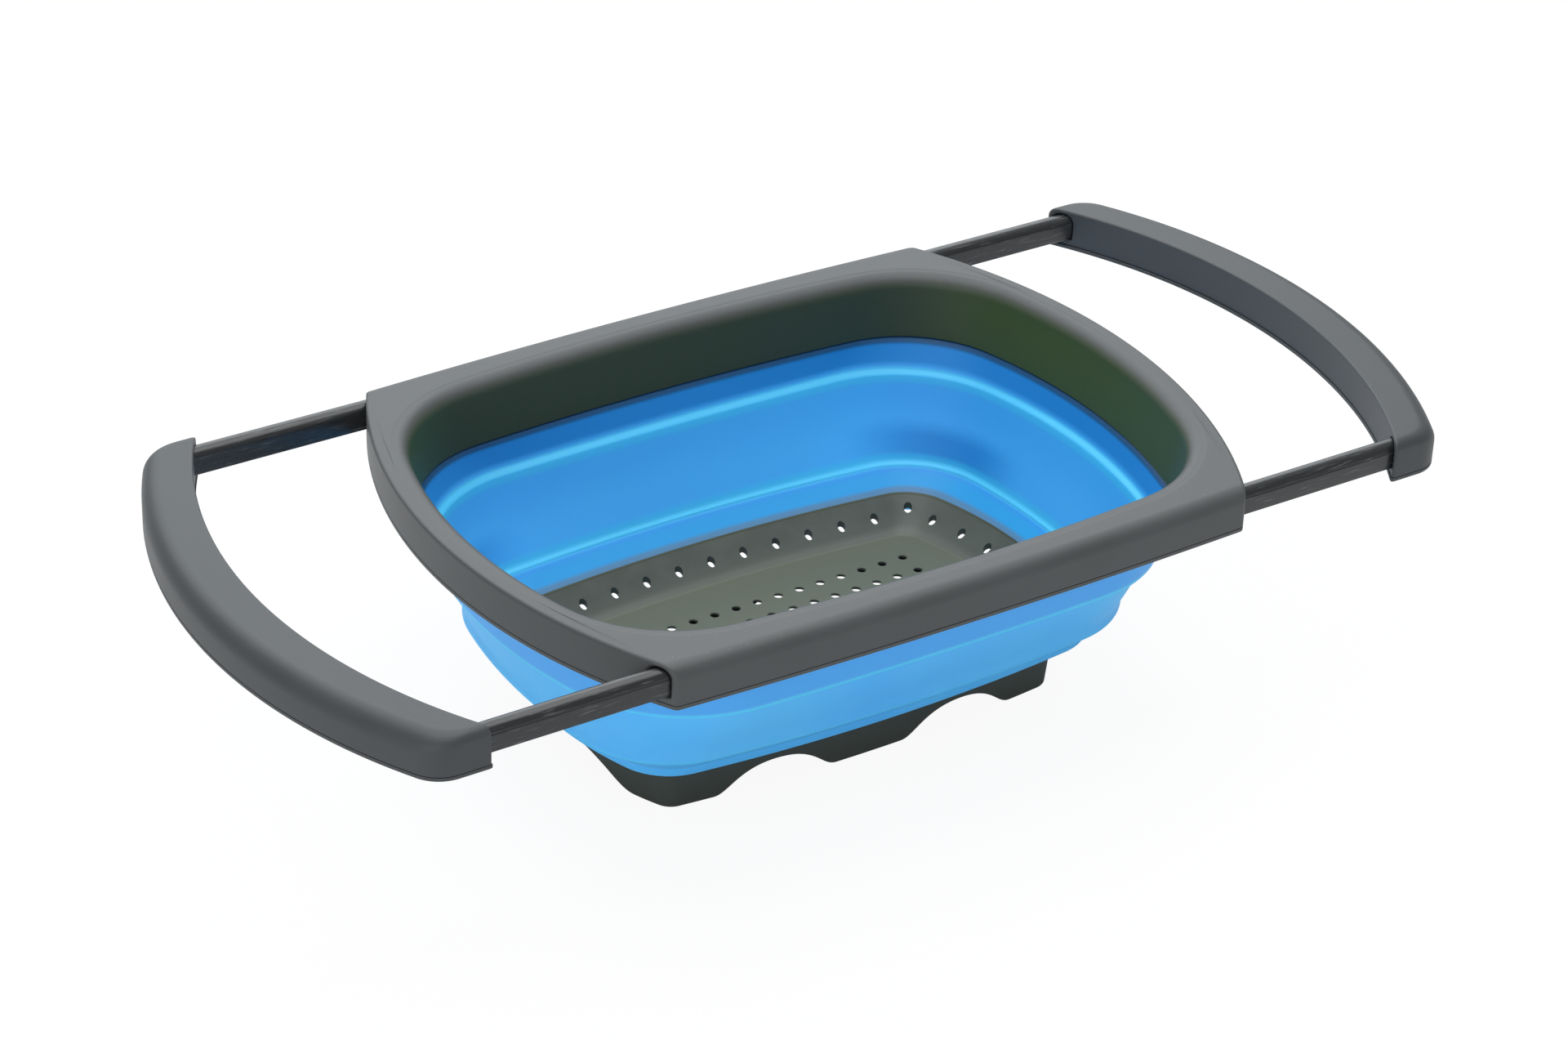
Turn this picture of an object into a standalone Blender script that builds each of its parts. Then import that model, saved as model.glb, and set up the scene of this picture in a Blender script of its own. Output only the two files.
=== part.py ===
"""Collapsible colander that lies across a sink.

A barrel-shaped rim carries a silicone wall that turns inside out between two thin folds, a perforated
tray stands on a scalloped foot skirt, and two handles slide out of the rim's long sides on flat rods.
X runs from handle to handle, Y across, Z up, and the feet stand at Z = 0. Lengths are in metres.
"""

import math
from collections import namedtuple

import bmesh
import bpy
from mathutils import Matrix, Vector

Plan = namedtuple("Plan", "half_length half_width end_radius side_radius corner_radius")

# Heights of the bowl's bands, each from the one below, the first from the feet
FLOOR_LEVEL = 0.0199
TRAY_DEPTH = 0.0126
LOWER_BAND_HEIGHT = 0.0088
MAIN_WALL_HEIGHT = 0.0387
UPPER_BAND_HEIGHT = 0.0140
COLLAR_DROP = 0.0105

# Outline of the rim
RIM_HALF_LENGTH = 0.1747
RIM_HALF_WIDTH = 0.1325
RIM_END_RADIUS = 0.2570
RIM_SIDE_RADIUS = 3.0
RIM_CORNER_RADIUS = 0.0030

# Inner outline of the collar under its upper fillet, inside the rim's end and inside the rods
COLLAR_END_INSET = 0.0137
COLLAR_ROD_GAP = 0.0054
COLLAR_END_RADIUS = 0.2330
COLLAR_SIDE_RADIUS = 1.1200
COLLAR_CORNER_RADIUS = 0.0580

# Inner outline of the collar's lower edge, inside the collar's
COLLAR_EDGE_END_INSET = 0.0047
COLLAR_EDGE_SIDE_INSET = 0.0016
COLLAR_EDGE_END_RADIUS = 0.2360
COLLAR_EDGE_SIDE_RADIUS = 1.3000
COLLAR_EDGE_CORNER_RADIUS = 0.0546

# Inner outline of the upper fold, inside the collar's lower edge
UPPER_FOLD_END_INSET = 0.0034
UPPER_FOLD_SIDE_INSET = 0.0041
UPPER_FOLD_END_RADIUS = 0.2120
UPPER_FOLD_SIDE_RADIUS = 2.2620
UPPER_FOLD_CORNER_RADIUS = 0.0620

# Inner outline of the lower fold, inside the upper fold
LOWER_FOLD_END_INSET = 0.0190
LOWER_FOLD_SIDE_INSET = 0.0198
LOWER_FOLD_END_RADIUS = 0.2640
LOWER_FOLD_SIDE_RADIUS = 0.9320
LOWER_FOLD_CORNER_RADIUS = 0.0410

# Line where the silicone ends on the tray's wall, inside the lower fold
TRAY_END_INSET = 0.0109
TRAY_SIDE_INSET = 0.0122
TRAY_END_RADIUS = 0.1580
TRAY_SIDE_RADIUS = 0.8180
TRAY_CORNER_RADIUS = 0.0203

# Outline of the tray's floor, inside that line
FLOOR_END_INSET = 0.0135
FLOOR_SIDE_INSET = 0.0136
FLOOR_END_RADIUS = 0.1300
FLOOR_SIDE_RADIUS = 0.8150
FLOOR_CORNER_RADIUS = 0.0120

# Outline of the foot skirt where it stands, outside the floor
FOOT_END_REACH = 0.0025
FOOT_SIDE_REACH = 0.0023
FOOT_END_RADIUS = 0.1180
FOOT_SIDE_RADIUS = 0.8150
FOOT_CORNER_RADIUS = 0.0090

# Rim mouldings
RIM_HEIGHT = 0.0194
UNDER_RING_THICKNESS = 0.0018
RIM_WALL = 0.0022
RIM_TOP_THICKNESS = 0.0020
RIM_SIDE_FILLET = 0.0065
RIM_END_FILLET = 0.0015
COLLAR_FILLET = 0.0065
COLLAR_FILLET_WALL = 0.0020
RING_EDGE_ROUND = 0.0006
CLEARANCE = 0.0003
OVERRUN = 0.0100

# Silicone wall
SILICONE_THICKNESS = 0.0027
HINGE_GROOVE = 0.0007
ROOT_THICKNESS = 0.0023
ROOT_HEIGHT = 0.0150
BEAD_HEIGHT = 0.0026
BEAD_OVERHANG = 0.0011
COLLAR_STEP = 0.0010
COLLAR_STEP_HEIGHT = 0.0017
LIP_THICKNESS = 0.0011
FOOT_BAND_DROP = 0.0064
FOOT_BAND_REACH = 0.0027
FOOT_BAND_ROUND = 0.0012

# Tray
FLOOR_THICKNESS = 0.0023
TRAY_WALL_DROP = 0.0030
FLOOR_FILLET = 0.0014
FLANGE_REACH = 0.0080
FLANGE_THICKNESS = 0.0018
SKIRT_RISE = 0.0005
SKIRT_TAPER = 0.0018
SKIRT_WALL = 0.0022
SKIRT_ROOT = 0.0014

# Drain holes
HOLE_DIAMETER = 0.0037
FLOOR_HOLE_PITCH_X = 0.01113
FLOOR_HOLE_PITCH_Y = 0.0124
FLOOR_HOLE_COLUMNS = 16
FLOOR_HOLE_ROWS = 7
WALL_HOLE_PITCH_X = 0.0170
WALL_HOLE_PITCH_Y = 0.0164
WALL_HOLES_PER_SIDE = 13
WALL_HOLES_PER_END = 7
WALL_HOLE_SHARE = 0.5
HOLE_FACETS = 6

# Arches between the feet
ARCH_HEIGHT = 0.0122
SIDE_ARCH_CENTRE = 0.0465
SIDE_ARCH_HALF_WIDTH = 0.0291
END_ARCH_HALF_WIDTH = 0.0400
ARCH_FOOT_HANDLE_SHARE = 0.15
ARCH_TOP_HANDLE_SHARE = 0.64
ARCH_RESOLUTION = 5

# Sliding rods, with heights above the rim's underside
ROD_SIDE_INSET = 0.0151
ROD_WIDTH = 0.0086
ROD_FLOOR = 0.0053
ROD_HEIGHT = 0.0116
ROD_TOP_ROUND = 0.0038
ROD_BOTTOM_ROUND = 0.0008
ROD_LEDGE_DROP = 0.0034
ROD_LEDGE_DEPTH = 0.0004
ROD_OVERLAP = 0.0550
ROD_END_INSET = 0.0069
ROD_HEAD_LENGTH = 0.0060
ROD_HEAD_REACH = 0.0025
ROD_HEAD_HEIGHT = 0.0070
ROD_POCKET_WIDTH = 0.0042
ROD_POCKET_DEPTH = 0.0070
ROD_POCKET_LENGTH = 0.0580
ROD_POCKET_GAP = 0.0040
ROD_MOUTH_CLEARANCE = 0.0007

# Guides of the rods inside the rim
GUIDE_THICKNESS = 0.0015
OUTER_GUIDE_LEAD = 0.0220
GUIDE_END_INSET = 0.0047
SUPPORT_LEAD = 0.0120
SUPPORT_PITCH = 0.0300
SUPPORTS_PER_ROD = 3
SUPPORT_THICKNESS = 0.0020

# Grips
HANDLE_REACH = 0.0829
GRIP_DEPTH = 0.0234
GRIP_OUTER_RADIUS = 0.2500
GRIP_INNER_RADIUS = 0.2446
GRIP_ROD_COVER = 0.0026
GRIP_CORNER_RADIUS = 0.0160
GRIP_OUTER_FILLET = 0.0085
GRIP_SIDE_FILLET = 0.0045
GRIP_INNER_FILLET = 0.0010
GRIP_WALL = 0.0024
GRIP_CAVITY_INSET = 0.0074
GRIP_CAVITY_CORNER = 0.0040
GRIP_PLATE_THICKNESS = 0.0019
GRIP_PLATE_LIP = 0.0005
GRIP_PLATE_ROUND = 0.0007

# Screws
SCREW_HEAD_RADIUS = 0.0022
SCREW_SHANK_RADIUS = 0.0011
SCREW_HEAD_DEPTH = 0.0011
SCREW_TIP_LENGTH = 0.0016
SCREW_LENGTH = 0.0090
SCREW_RECESS = 0.0002
SCREW_FACETS = 8
BOSS_FACETS = 8
BOSS_RADIUS = 0.0028
SIDE_BOSS_RADIUS = 0.0023
SIDE_BOSS_INSET = 0.0036
END_BOSS_INSET = 0.0052
CORNER_BOSS_END_INSET = 0.0093
CORNER_BOSS_SIDE_INSET = 0.0345
GRIP_SCREW_INSET = 0.0080

# Steps along each quarter of an outline: end arc, corner arc, side arc
RIM_STEPS = (4, 2, 3)
BOWL_STEPS = (3, 4, 2)
GRIP_ARC_STEPS = 10
GRIP_CORNER_STEPS = 4
FILLET_LEVEL_SHARES = (1.0, 0.55, 0.25, 0.06, 0.0)
COLLAR_FILLET_STEPS = 3
ROD_ROUND_STEPS = 3

# Colours seen in the photograph, as linear RGBA, with roughness
RIM_PLASTIC = ((0.072, 0.077, 0.082, 1.0), 0.55)
RING_PLASTIC = ((0.060, 0.064, 0.068, 1.0), 0.58)
TRAY_PLASTIC = ((0.070, 0.082, 0.072, 1.0), 0.48)
ROD_PLASTIC = ((0.045, 0.048, 0.052, 1.0), 0.30)
GRIP_PLASTIC = ((0.066, 0.070, 0.075, 1.0), 0.60)
PLATE_PLASTIC = ((0.055, 0.058, 0.062, 1.0), 0.60)
BLUE_SILICONE = ((0.035, 0.290, 0.750, 1.0), 0.42)
SCREW_STEEL = ((0.520, 0.520, 0.530, 1.0), 0.32)


# Outlines

def grown(plan, distance):
    """Move every wall of an outline outwards by a distance."""
    return Plan(*(value + distance for value in plan))


def mixed(first, second, share):
    """Blend two outlines."""
    return Plan(*(a + (b - a) * share for a, b in zip(first, second)))


def mixed_level(first, second, share):
    """Blend two heights."""
    return first + (second - first) * share


def quarter_arcs(plan):
    """Centres and angles of the three arcs that make a quarter of a barrel outline."""
    end_centre = Vector((plan.half_length - plan.end_radius, 0))
    side_centre = Vector((0, plan.half_width - plan.side_radius))
    to_end = plan.end_radius - plan.corner_radius
    to_side = plan.side_radius - plan.corner_radius
    between = side_centre - end_centre
    distance = between.length
    along = (to_end ** 2 - to_side ** 2 + distance ** 2) / (2 * distance)
    aside = math.sqrt(max(to_end ** 2 - along ** 2, 0))
    unit = between / distance
    normal = Vector((-unit.y, unit.x))
    foot = end_centre + unit * along
    corner_centre = max((foot + normal * aside, foot - normal * aside), key=lambda c: c.x + c.y)
    from_end = corner_centre - end_centre
    from_side = corner_centre - side_centre
    end_angle = math.atan2(from_end.y, from_end.x)
    side_angle = math.atan2(from_side.y, from_side.x)
    return end_centre, corner_centre, side_centre, end_angle, side_angle


def outline(plan, steps):
    """Closed list of points round a barrel outline, anticlockwise from +X."""
    end_centre, corner_centre, side_centre, end_angle, side_angle = quarter_arcs(plan)
    end_steps, corner_steps, side_steps = steps
    quarter = [arc_point(end_centre, plan.end_radius, end_angle * i / end_steps)
               for i in range(end_steps)]
    quarter += [arc_point(corner_centre, plan.corner_radius,
                          end_angle + (side_angle - end_angle) * i / corner_steps)
                for i in range(corner_steps)]
    quarter += [arc_point(side_centre, plan.side_radius,
                          side_angle + (math.pi / 2 - side_angle) * i / side_steps)
                for i in range(side_steps + 1)]
    half = quarter + [Vector((-p.x, p.y)) for p in reversed(quarter[:-1])]
    return half + [Vector((p.x, -p.y)) for p in reversed(half[1:-1])]


def arc_point(centre, radius, angle):
    """Point of a circle in the plane."""
    return Vector((centre.x + radius * math.cos(angle), centre.y + radius * math.sin(angle)))


def side_y(plan, x):
    """Half width of an outline's long side at a distance along X."""
    return plan.half_width - plan.side_radius + math.sqrt(plan.side_radius ** 2 - x ** 2)


def end_x(plan, y):
    """Half length of an outline's end at a distance along Y."""
    return arc_x(plan.half_length, plan.end_radius, y)


def arc_x(mid_x, radius, y):
    """Place along X, at a distance along Y, of an arc whose middle lies at mid_x."""
    return mid_x - radius + math.sqrt(radius ** 2 - y ** 2)


# Sizes that follow from the named ones

silicone_edge_level = FLOOR_LEVEL + TRAY_DEPTH
lower_fold_level = silicone_edge_level + LOWER_BAND_HEIGHT
upper_fold_level = lower_fold_level + MAIN_WALL_HEIGHT
collar_level = upper_fold_level + UPPER_BAND_HEIGHT
rim_level = collar_level + COLLAR_DROP
rim_top = rim_level + RIM_HEIGHT
rim_ceiling = rim_top - RIM_TOP_THICKNESS
hung_top = rim_ceiling + RIM_TOP_THICKNESS / 2
ring_top = rim_level + UNDER_RING_THICKNESS
cover_bottom = ring_top + CLEARANCE
fillet_centre_level = rim_top - COLLAR_FILLET
wall_slope = math.hypot(MAIN_WALL_HEIGHT, LOWER_FOLD_SIDE_INSET)
flange_top_drop = LIP_THICKNESS + CLEARANCE
flange_bottom_drop = flange_top_drop + FLANGE_THICKNESS

rim_plan = Plan(RIM_HALF_LENGTH, RIM_HALF_WIDTH, RIM_END_RADIUS, RIM_SIDE_RADIUS, RIM_CORNER_RADIUS)
rod_inner_y = RIM_HALF_WIDTH - ROD_SIDE_INSET
rod_middle_y = rod_inner_y + ROD_WIDTH / 2
rod_outer_y = rod_inner_y + ROD_WIDTH
rod_bottom = rim_level + ROD_FLOOR
guide_end_x = end_x(rim_plan, rod_outer_y) - GUIDE_END_INSET
rod_start_x = guide_end_x - ROD_OVERLAP
stop_x = rod_start_x + ROD_HEAD_LENGTH + CLEARANCE
grip_inner_mid_x = RIM_HALF_LENGTH + HANDLE_REACH
grip_outer_mid_x = grip_inner_mid_x + GRIP_DEPTH
grip_half_width = rod_outer_y + GRIP_ROD_COVER
rod_end_x = arc_x(grip_outer_mid_x, GRIP_OUTER_RADIUS, rod_outer_y) - ROD_END_INSET
pilot_radius = SCREW_SHANK_RADIUS + CLEARANCE
pilot_top = rim_level + SCREW_RECESS + SCREW_LENGTH + CLEARANCE
merge_distance = CLEARANCE / 10

collar_plan = Plan(RIM_HALF_LENGTH - COLLAR_END_INSET, rod_inner_y - COLLAR_ROD_GAP,
                   COLLAR_END_RADIUS, COLLAR_SIDE_RADIUS, COLLAR_CORNER_RADIUS)
collar_edge_plan = Plan(collar_plan.half_length - COLLAR_EDGE_END_INSET,
                        collar_plan.half_width - COLLAR_EDGE_SIDE_INSET,
                        COLLAR_EDGE_END_RADIUS, COLLAR_EDGE_SIDE_RADIUS, COLLAR_EDGE_CORNER_RADIUS)
upper_fold_plan = Plan(collar_edge_plan.half_length - UPPER_FOLD_END_INSET,
                       collar_edge_plan.half_width - UPPER_FOLD_SIDE_INSET,
                       UPPER_FOLD_END_RADIUS, UPPER_FOLD_SIDE_RADIUS, UPPER_FOLD_CORNER_RADIUS)
lower_fold_plan = Plan(upper_fold_plan.half_length - LOWER_FOLD_END_INSET,
                       upper_fold_plan.half_width - LOWER_FOLD_SIDE_INSET,
                       LOWER_FOLD_END_RADIUS, LOWER_FOLD_SIDE_RADIUS, LOWER_FOLD_CORNER_RADIUS)
tray_plan = Plan(lower_fold_plan.half_length - TRAY_END_INSET,
                 lower_fold_plan.half_width - TRAY_SIDE_INSET,
                 TRAY_END_RADIUS, TRAY_SIDE_RADIUS, TRAY_CORNER_RADIUS)
floor_plan = Plan(tray_plan.half_length - FLOOR_END_INSET, tray_plan.half_width - FLOOR_SIDE_INSET,
                  FLOOR_END_RADIUS, FLOOR_SIDE_RADIUS, FLOOR_CORNER_RADIUS)
foot_plan = Plan(floor_plan.half_length + FOOT_END_REACH, floor_plan.half_width + FOOT_SIDE_REACH,
                 FOOT_END_RADIUS, FOOT_SIDE_RADIUS, FOOT_CORNER_RADIUS)


# Building blocks

def fresh_collection(name):
    """New collection in the scene."""
    collection = bpy.data.collections.new(name)
    bpy.context.scene.collection.children.link(collection)
    return collection


def material(name, finish):
    """Plain Principled material of one colour."""
    colour, roughness = finish
    made = bpy.data.materials.new(name)
    made.use_nodes = True
    shader = made.node_tree.nodes["Principled BSDF"]
    shader.inputs["Base Color"].default_value = colour
    shader.inputs["Roughness"].default_value = roughness
    shader.inputs["Metallic"].default_value = 1.0 if finish is SCREW_STEEL else 0.0
    return made


def mesh_object(name, mesh, collection):
    """Object in a collection, smooth but for its sharp edges."""
    mesh.shade_smooth()
    mesh.set_sharp_from_angle(angle=math.radians(32))
    made = bpy.data.objects.new(name, mesh)
    collection.objects.link(made)
    if collection is cutters:
        made.hide_render = True
        made.display_type = "WIRE"
    return made


def object_from_bmesh(name, shape, collection):
    """Object from a bmesh whose faces are turned outwards."""
    bmesh.ops.recalc_face_normals(shape, faces=shape.faces)
    mesh = bpy.data.meshes.new(name)
    shape.to_mesh(mesh)
    shape.free()
    return mesh_object(name, mesh, collection)


def loft(name, rings, collection, is_loop=False):
    """Skin a stack of outlines, capped at both ends or closed into a ring of one section."""
    shape = bmesh.new()
    rows = [[shape.verts.new((p.x, p.y, level)) for p in points] for points, level in rings]
    count = len(rows[0])
    pairs = list(zip(rows, rows[1:]))
    if is_loop:
        pairs.append((rows[-1], rows[0]))
    for lower, upper in pairs:
        for i in range(count):
            j = (i + 1) % count
            shape.faces.new((lower[i], lower[j], upper[j], upper[i]))
    if not is_loop:
        shape.faces.new(list(reversed(rows[0])))
        shape.faces.new(rows[-1])
    return object_from_bmesh(name, shape, collection)


def plan_loft(name, sections, steps, collection, is_loop=False):
    """Loft between barrel outlines given as (plan, level)."""
    rings = [(outline(plan, steps), level) for plan, level in sections]
    return loft(name, rings, collection, is_loop)


def box(name, low, high, collection):
    """Box between two corners."""
    shape = bmesh.new()
    bmesh.ops.create_cube(shape, size=1)
    low, high = Vector(low), Vector(high)
    bmesh.ops.scale(shape, vec=high - low, verts=shape.verts)
    made = object_from_bmesh(name, shape, collection)
    made.location = (low + high) / 2
    return made


def pegs(name, places, radius_low, radius_high, low, high, facets, collection):
    """Upright cylinders or cones of one size at many places, in one object."""
    shape = bmesh.new()
    for x, y in places:
        bmesh.ops.create_cone(shape, cap_ends=True, segments=facets, radius1=radius_low,
                              radius2=radius_high, depth=high - low,
                              matrix=Matrix.Translation((x, y, (low + high) / 2)))
    return object_from_bmesh(name, shape, collection)


def curve_mesh(name, curve, turn, collection):
    """Mesh object from a filled flat curve, turned from the curve's plane into place."""
    source = bpy.data.objects.new(name + "_curve", curve)
    collection.objects.link(source)
    source.matrix_world = turn
    bpy.context.view_layer.update()
    graph = bpy.context.evaluated_depsgraph_get()
    mesh = bpy.data.meshes.new_from_object(source.evaluated_get(graph))
    shape = bmesh.new()
    shape.from_mesh(mesh)
    bmesh.ops.remove_doubles(shape, verts=shape.verts, dist=merge_distance)
    shape.to_mesh(mesh)
    shape.free()
    made = mesh_object(name, mesh, collection)
    made.matrix_world = source.matrix_world.copy()
    bpy.data.objects.remove(source)
    bpy.data.curves.remove(curve)
    return made


def flat_curve(name, depth):
    """Flat curve data that is filled and extruded to a depth."""
    curve = bpy.data.curves.new(name, "CURVE")
    curve.dimensions = "2D"
    curve.fill_mode = "BOTH"
    curve.extrude = depth / 2
    return curve


def cut(target, cutter):
    """Take a cutter away from a piece."""
    add_boolean(target, cutter, "DIFFERENCE")


def fuse(target, addition):
    """Join an addition to a piece."""
    add_boolean(target, addition, "UNION")


def add_boolean(target, operand, operation):
    """Boolean modifier with the exact solver."""
    modifier = target.modifiers.new(operand.name, "BOOLEAN")
    modifier.operation = operation
    modifier.solver = "EXACT"
    modifier.object = operand


def slide_empty(name, location, turn):
    """Empty that stands on a sliding joint."""
    made = bpy.data.objects.new(name, None)
    made.empty_display_size = RIM_HEIGHT
    made.location = location
    made.rotation_euler = (0, 0, turn)
    parts.objects.link(made)
    return made


def carry(parent, children):
    """Parent objects that keep their places."""
    placed = Matrix.LocRotScale(parent.location, parent.rotation_euler, None)
    for child in children:
        child.parent = parent
        child.matrix_parent_inverse = placed.inverted()


# Rim

def fillet_inset(radius, depth):
    """How far a rounded upper edge lies inwards at a depth below the top."""
    if depth >= radius:
        return 0.0
    return radius - math.sqrt(radius ** 2 - (radius - depth) ** 2)


def rim_section(depth, wall):
    """Outline of the rim at a depth below its top, inside a wall of some thickness."""
    side = fillet_inset(RIM_SIDE_FILLET, depth) + wall
    end = fillet_inset(RIM_END_FILLET, depth) + wall
    return Plan(RIM_HALF_LENGTH - end, RIM_HALF_WIDTH - side, RIM_END_RADIUS - end,
                RIM_SIDE_RADIUS - side, RIM_CORNER_RADIUS)


def collar_inner(level):
    """Inner outline of the collar at a level between its lower edge and its fillet."""
    share = (level - collar_level) / (fillet_centre_level - collar_level)
    return mixed(collar_edge_plan, collar_plan, share)


def collar_sections(wall, top_wall, overrun_low, overrun_high):
    """Stack of outlines of the collar's inner face, grown by a wall, with its upper fillet."""
    radius = COLLAR_FILLET - top_wall
    sections = [(grown(collar_edge_plan, wall), collar_level - overrun_low),
                (grown(collar_plan, wall), fillet_centre_level)]
    if overrun_low:
        sections.insert(1, (grown(collar_edge_plan, wall), collar_level))
    for i in range(1, COLLAR_FILLET_STEPS + 1):
        angle = math.pi / 2 * i / COLLAR_FILLET_STEPS
        flare = COLLAR_FILLET - radius * math.cos(angle)
        sections.append((grown(collar_plan, flare), fillet_centre_level + radius * math.sin(angle)))
    sections.append((sections[-1][0], rim_top + overrun_high))
    return sections


def boss_places():
    """Places of the rim's screws, with the radius and the upper end of the boss that takes each."""
    corner_y = RIM_HALF_WIDTH - CORNER_BOSS_SIDE_INSET
    corner_x = end_x(rim_plan, corner_y) - CORNER_BOSS_END_INSET
    places = []
    for sign in (1, -1):
        places.append((0, sign * (RIM_HALF_WIDTH - SIDE_BOSS_INSET), SIDE_BOSS_RADIUS,
                       rim_top - RIM_SIDE_FILLET))
        places.append((sign * (RIM_HALF_LENGTH - END_BOSS_INSET), 0, BOSS_RADIUS, hung_top))
        places.append((sign * corner_x, corner_y, BOSS_RADIUS, hung_top))
        places.append((sign * corner_x, -corner_y, BOSS_RADIUS, hung_top))
    return places


def rim_screw_places():
    """Places of the rim's screws alone."""
    return [(x, y) for x, y, radius, top in boss_places()]


def make_cover():
    """Rim cover: outer wall, top, collar, rod guides and screw bosses in one moulding."""
    depths = [rim_top - cover_bottom] + [RIM_SIDE_FILLET * s for s in FILLET_LEVEL_SHARES]
    sections = [(rim_section(depth, 0.0), rim_top - depth) for depth in depths]
    cover = plan_loft("rim_cover", sections, RIM_STEPS, parts)

    inner_depths = [depth for depth in depths if depth > RIM_TOP_THICKNESS]
    hollow = [(rim_section(depth, RIM_WALL), rim_top - depth) for depth in inner_depths]
    hollow.insert(0, (hollow[0][0], cover_bottom - OVERRUN))
    hollow.append((rim_section(RIM_TOP_THICKNESS, RIM_WALL), rim_ceiling))
    cut(cover, plan_loft("rim_hollow", hollow, RIM_STEPS, cutters))

    skirt = collar_sections(RIM_WALL, COLLAR_FILLET_WALL, 0.0, 0.0)
    skirt[-1] = (skirt[-1][0], rim_top - RIM_TOP_THICKNESS / 2)
    fuse(cover, plan_loft("collar_wall", skirt, BOWL_STEPS, cutters))

    for index, (x, y, radius, top) in enumerate(boss_places()):
        boss = pegs("rim_boss_%d" % index, [(x, y)], radius, radius, cover_bottom, top,
                    BOSS_FACETS, cutters)
        fuse(cover, boss)
    for end in (1, -1):
        for side in (1, -1):
            inner_face = rod_inner_y - CLEARANCE
            outer_face = rod_outer_y + CLEARANCE
            inner = box("inner_guide_%d_%d" % (end, side),
                        *corners(end, side, stop_x, guide_end_x, inner_face - GUIDE_THICKNESS,
                                 inner_face, rod_bottom, hung_top), cutters)
            outer = box("outer_guide_%d_%d" % (end, side),
                        *corners(end, side, rod_start_x - OUTER_GUIDE_LEAD, guide_end_x, outer_face,
                                 outer_face + GUIDE_THICKNESS, rod_bottom, hung_top), cutters)
            fuse(cover, inner)
            fuse(cover, outer)

    bowl = collar_sections(0.0, 0.0, OVERRUN, OVERRUN)
    cut(cover, plan_loft("collar_bore", bowl, BOWL_STEPS, cutters))
    for side in (1, -1):
        mouth_length = 2 * (RIM_HALF_LENGTH + OVERRUN)
        mouth = rod_prism("rod_mouth_%d" % side, side, -mouth_length / 2, mouth_length,
                          ROD_MOUTH_CLEARANCE, cutters)
        keep = box("mouth_keep_%d" % side,
                   *corners(1, side, -guide_end_x, guide_end_x, rod_inner_y - OVERRUN,
                            rod_outer_y + OVERRUN, rim_level, rim_top + OVERRUN), cutters)
        cut(mouth, keep)
        cut(cover, mouth)
    cut(cover, pegs("rim_pilots", rim_screw_places(), pilot_radius, pilot_radius,
                    cover_bottom - OVERRUN, pilot_top, SCREW_FACETS, cutters))
    return cover


def corners(end, side, x_low, x_high, y_low, y_high, z_low, z_high):
    """Low and high corner of a box that is mirrored to one end and one side of the rim."""
    xs = sorted((end * x_low, end * x_high))
    ys = sorted((side * y_low, side * y_high))
    return (xs[0], ys[0], z_low), (xs[1], ys[1], z_high)


def make_under_ring():
    """Ring that closes the rim from below, with the rods' supports and the screws' seats."""
    outer_sections = [(grown(rim_plan, -RING_EDGE_ROUND), rim_level),
                      (rim_plan, rim_level + RING_EDGE_ROUND), (rim_plan, ring_top)]
    ring = plan_loft("rim_under_ring", outer_sections, RIM_STEPS, parts)
    root_face = RIM_WALL + CLEARANCE + ROOT_THICKNESS + CLEARANCE
    opening = grown(collar_inner(ring_top), root_face)
    cut(ring, plan_loft("ring_opening", [(opening, rim_level - OVERRUN), (opening, ring_top + OVERRUN)],
                        BOWL_STEPS, cutters))
    for end in (1, -1):
        for side in (1, -1):
            for index in range(SUPPORTS_PER_ROD):
                x = rod_start_x - SUPPORT_LEAD + SUPPORT_PITCH * index
                support = box("rod_support_%d_%d_%d" % (end, side, index),
                              *corners(end, side, x, x + SUPPORT_THICKNESS, rod_inner_y + CLEARANCE,
                                       rod_outer_y + CLEARANCE, ring_top - UNDER_RING_THICKNESS / 2,
                                       rod_bottom - CLEARANCE), cutters)
                fuse(ring, support)
    for seat in screw_seats("rim", rim_screw_places(), rim_level, ring_top):
        cut(ring, seat)
    return ring


def screw_seats(name, places, bottom, top):
    """Cutters for countersunk screws in a plate."""
    head = SCREW_HEAD_RADIUS + CLEARANCE
    cone_top = bottom + SCREW_RECESS + SCREW_HEAD_DEPTH
    sinks = pegs(name + "_sinks", places, head, pilot_radius, bottom + SCREW_RECESS - CLEARANCE / 2,
                 cone_top, SCREW_FACETS, cutters)
    mouths = pegs(name + "_sink_mouths", places, head, head, bottom - OVERRUN,
                  bottom + SCREW_RECESS, SCREW_FACETS, cutters)
    shanks = pegs(name + "_shank_holes", places, pilot_radius, pilot_radius, cone_top - CLEARANCE,
                  top + OVERRUN, SCREW_FACETS, cutters)
    return sinks, mouths, shanks


def make_screw(name, location, finish_material):
    """Countersunk self-tapping screw, head down, turned from its profile."""
    profile = [(0, 0), (SCREW_HEAD_RADIUS, 0), (SCREW_SHANK_RADIUS, SCREW_HEAD_DEPTH),
               (SCREW_SHANK_RADIUS, SCREW_LENGTH - SCREW_TIP_LENGTH), (0, SCREW_LENGTH)]
    shape = bmesh.new()
    verts = [shape.verts.new((radius, 0, height)) for radius, height in reversed(profile)]
    for first, second in zip(verts, verts[1:]):
        shape.edges.new((first, second))
    mesh = bpy.data.meshes.new(name)
    shape.to_mesh(mesh)
    shape.free()
    made = bpy.data.objects.new(name, mesh)
    parts.objects.link(made)
    turn = made.modifiers.new("turn", "SCREW")
    turn.steps = SCREW_FACETS
    turn.render_steps = SCREW_FACETS
    turn.use_merge_vertices = True
    turn.merge_threshold = merge_distance
    turn.use_smooth_shade = False
    mesh.materials.append(finish_material)
    made.location = location
    return made


# Silicone

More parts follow.
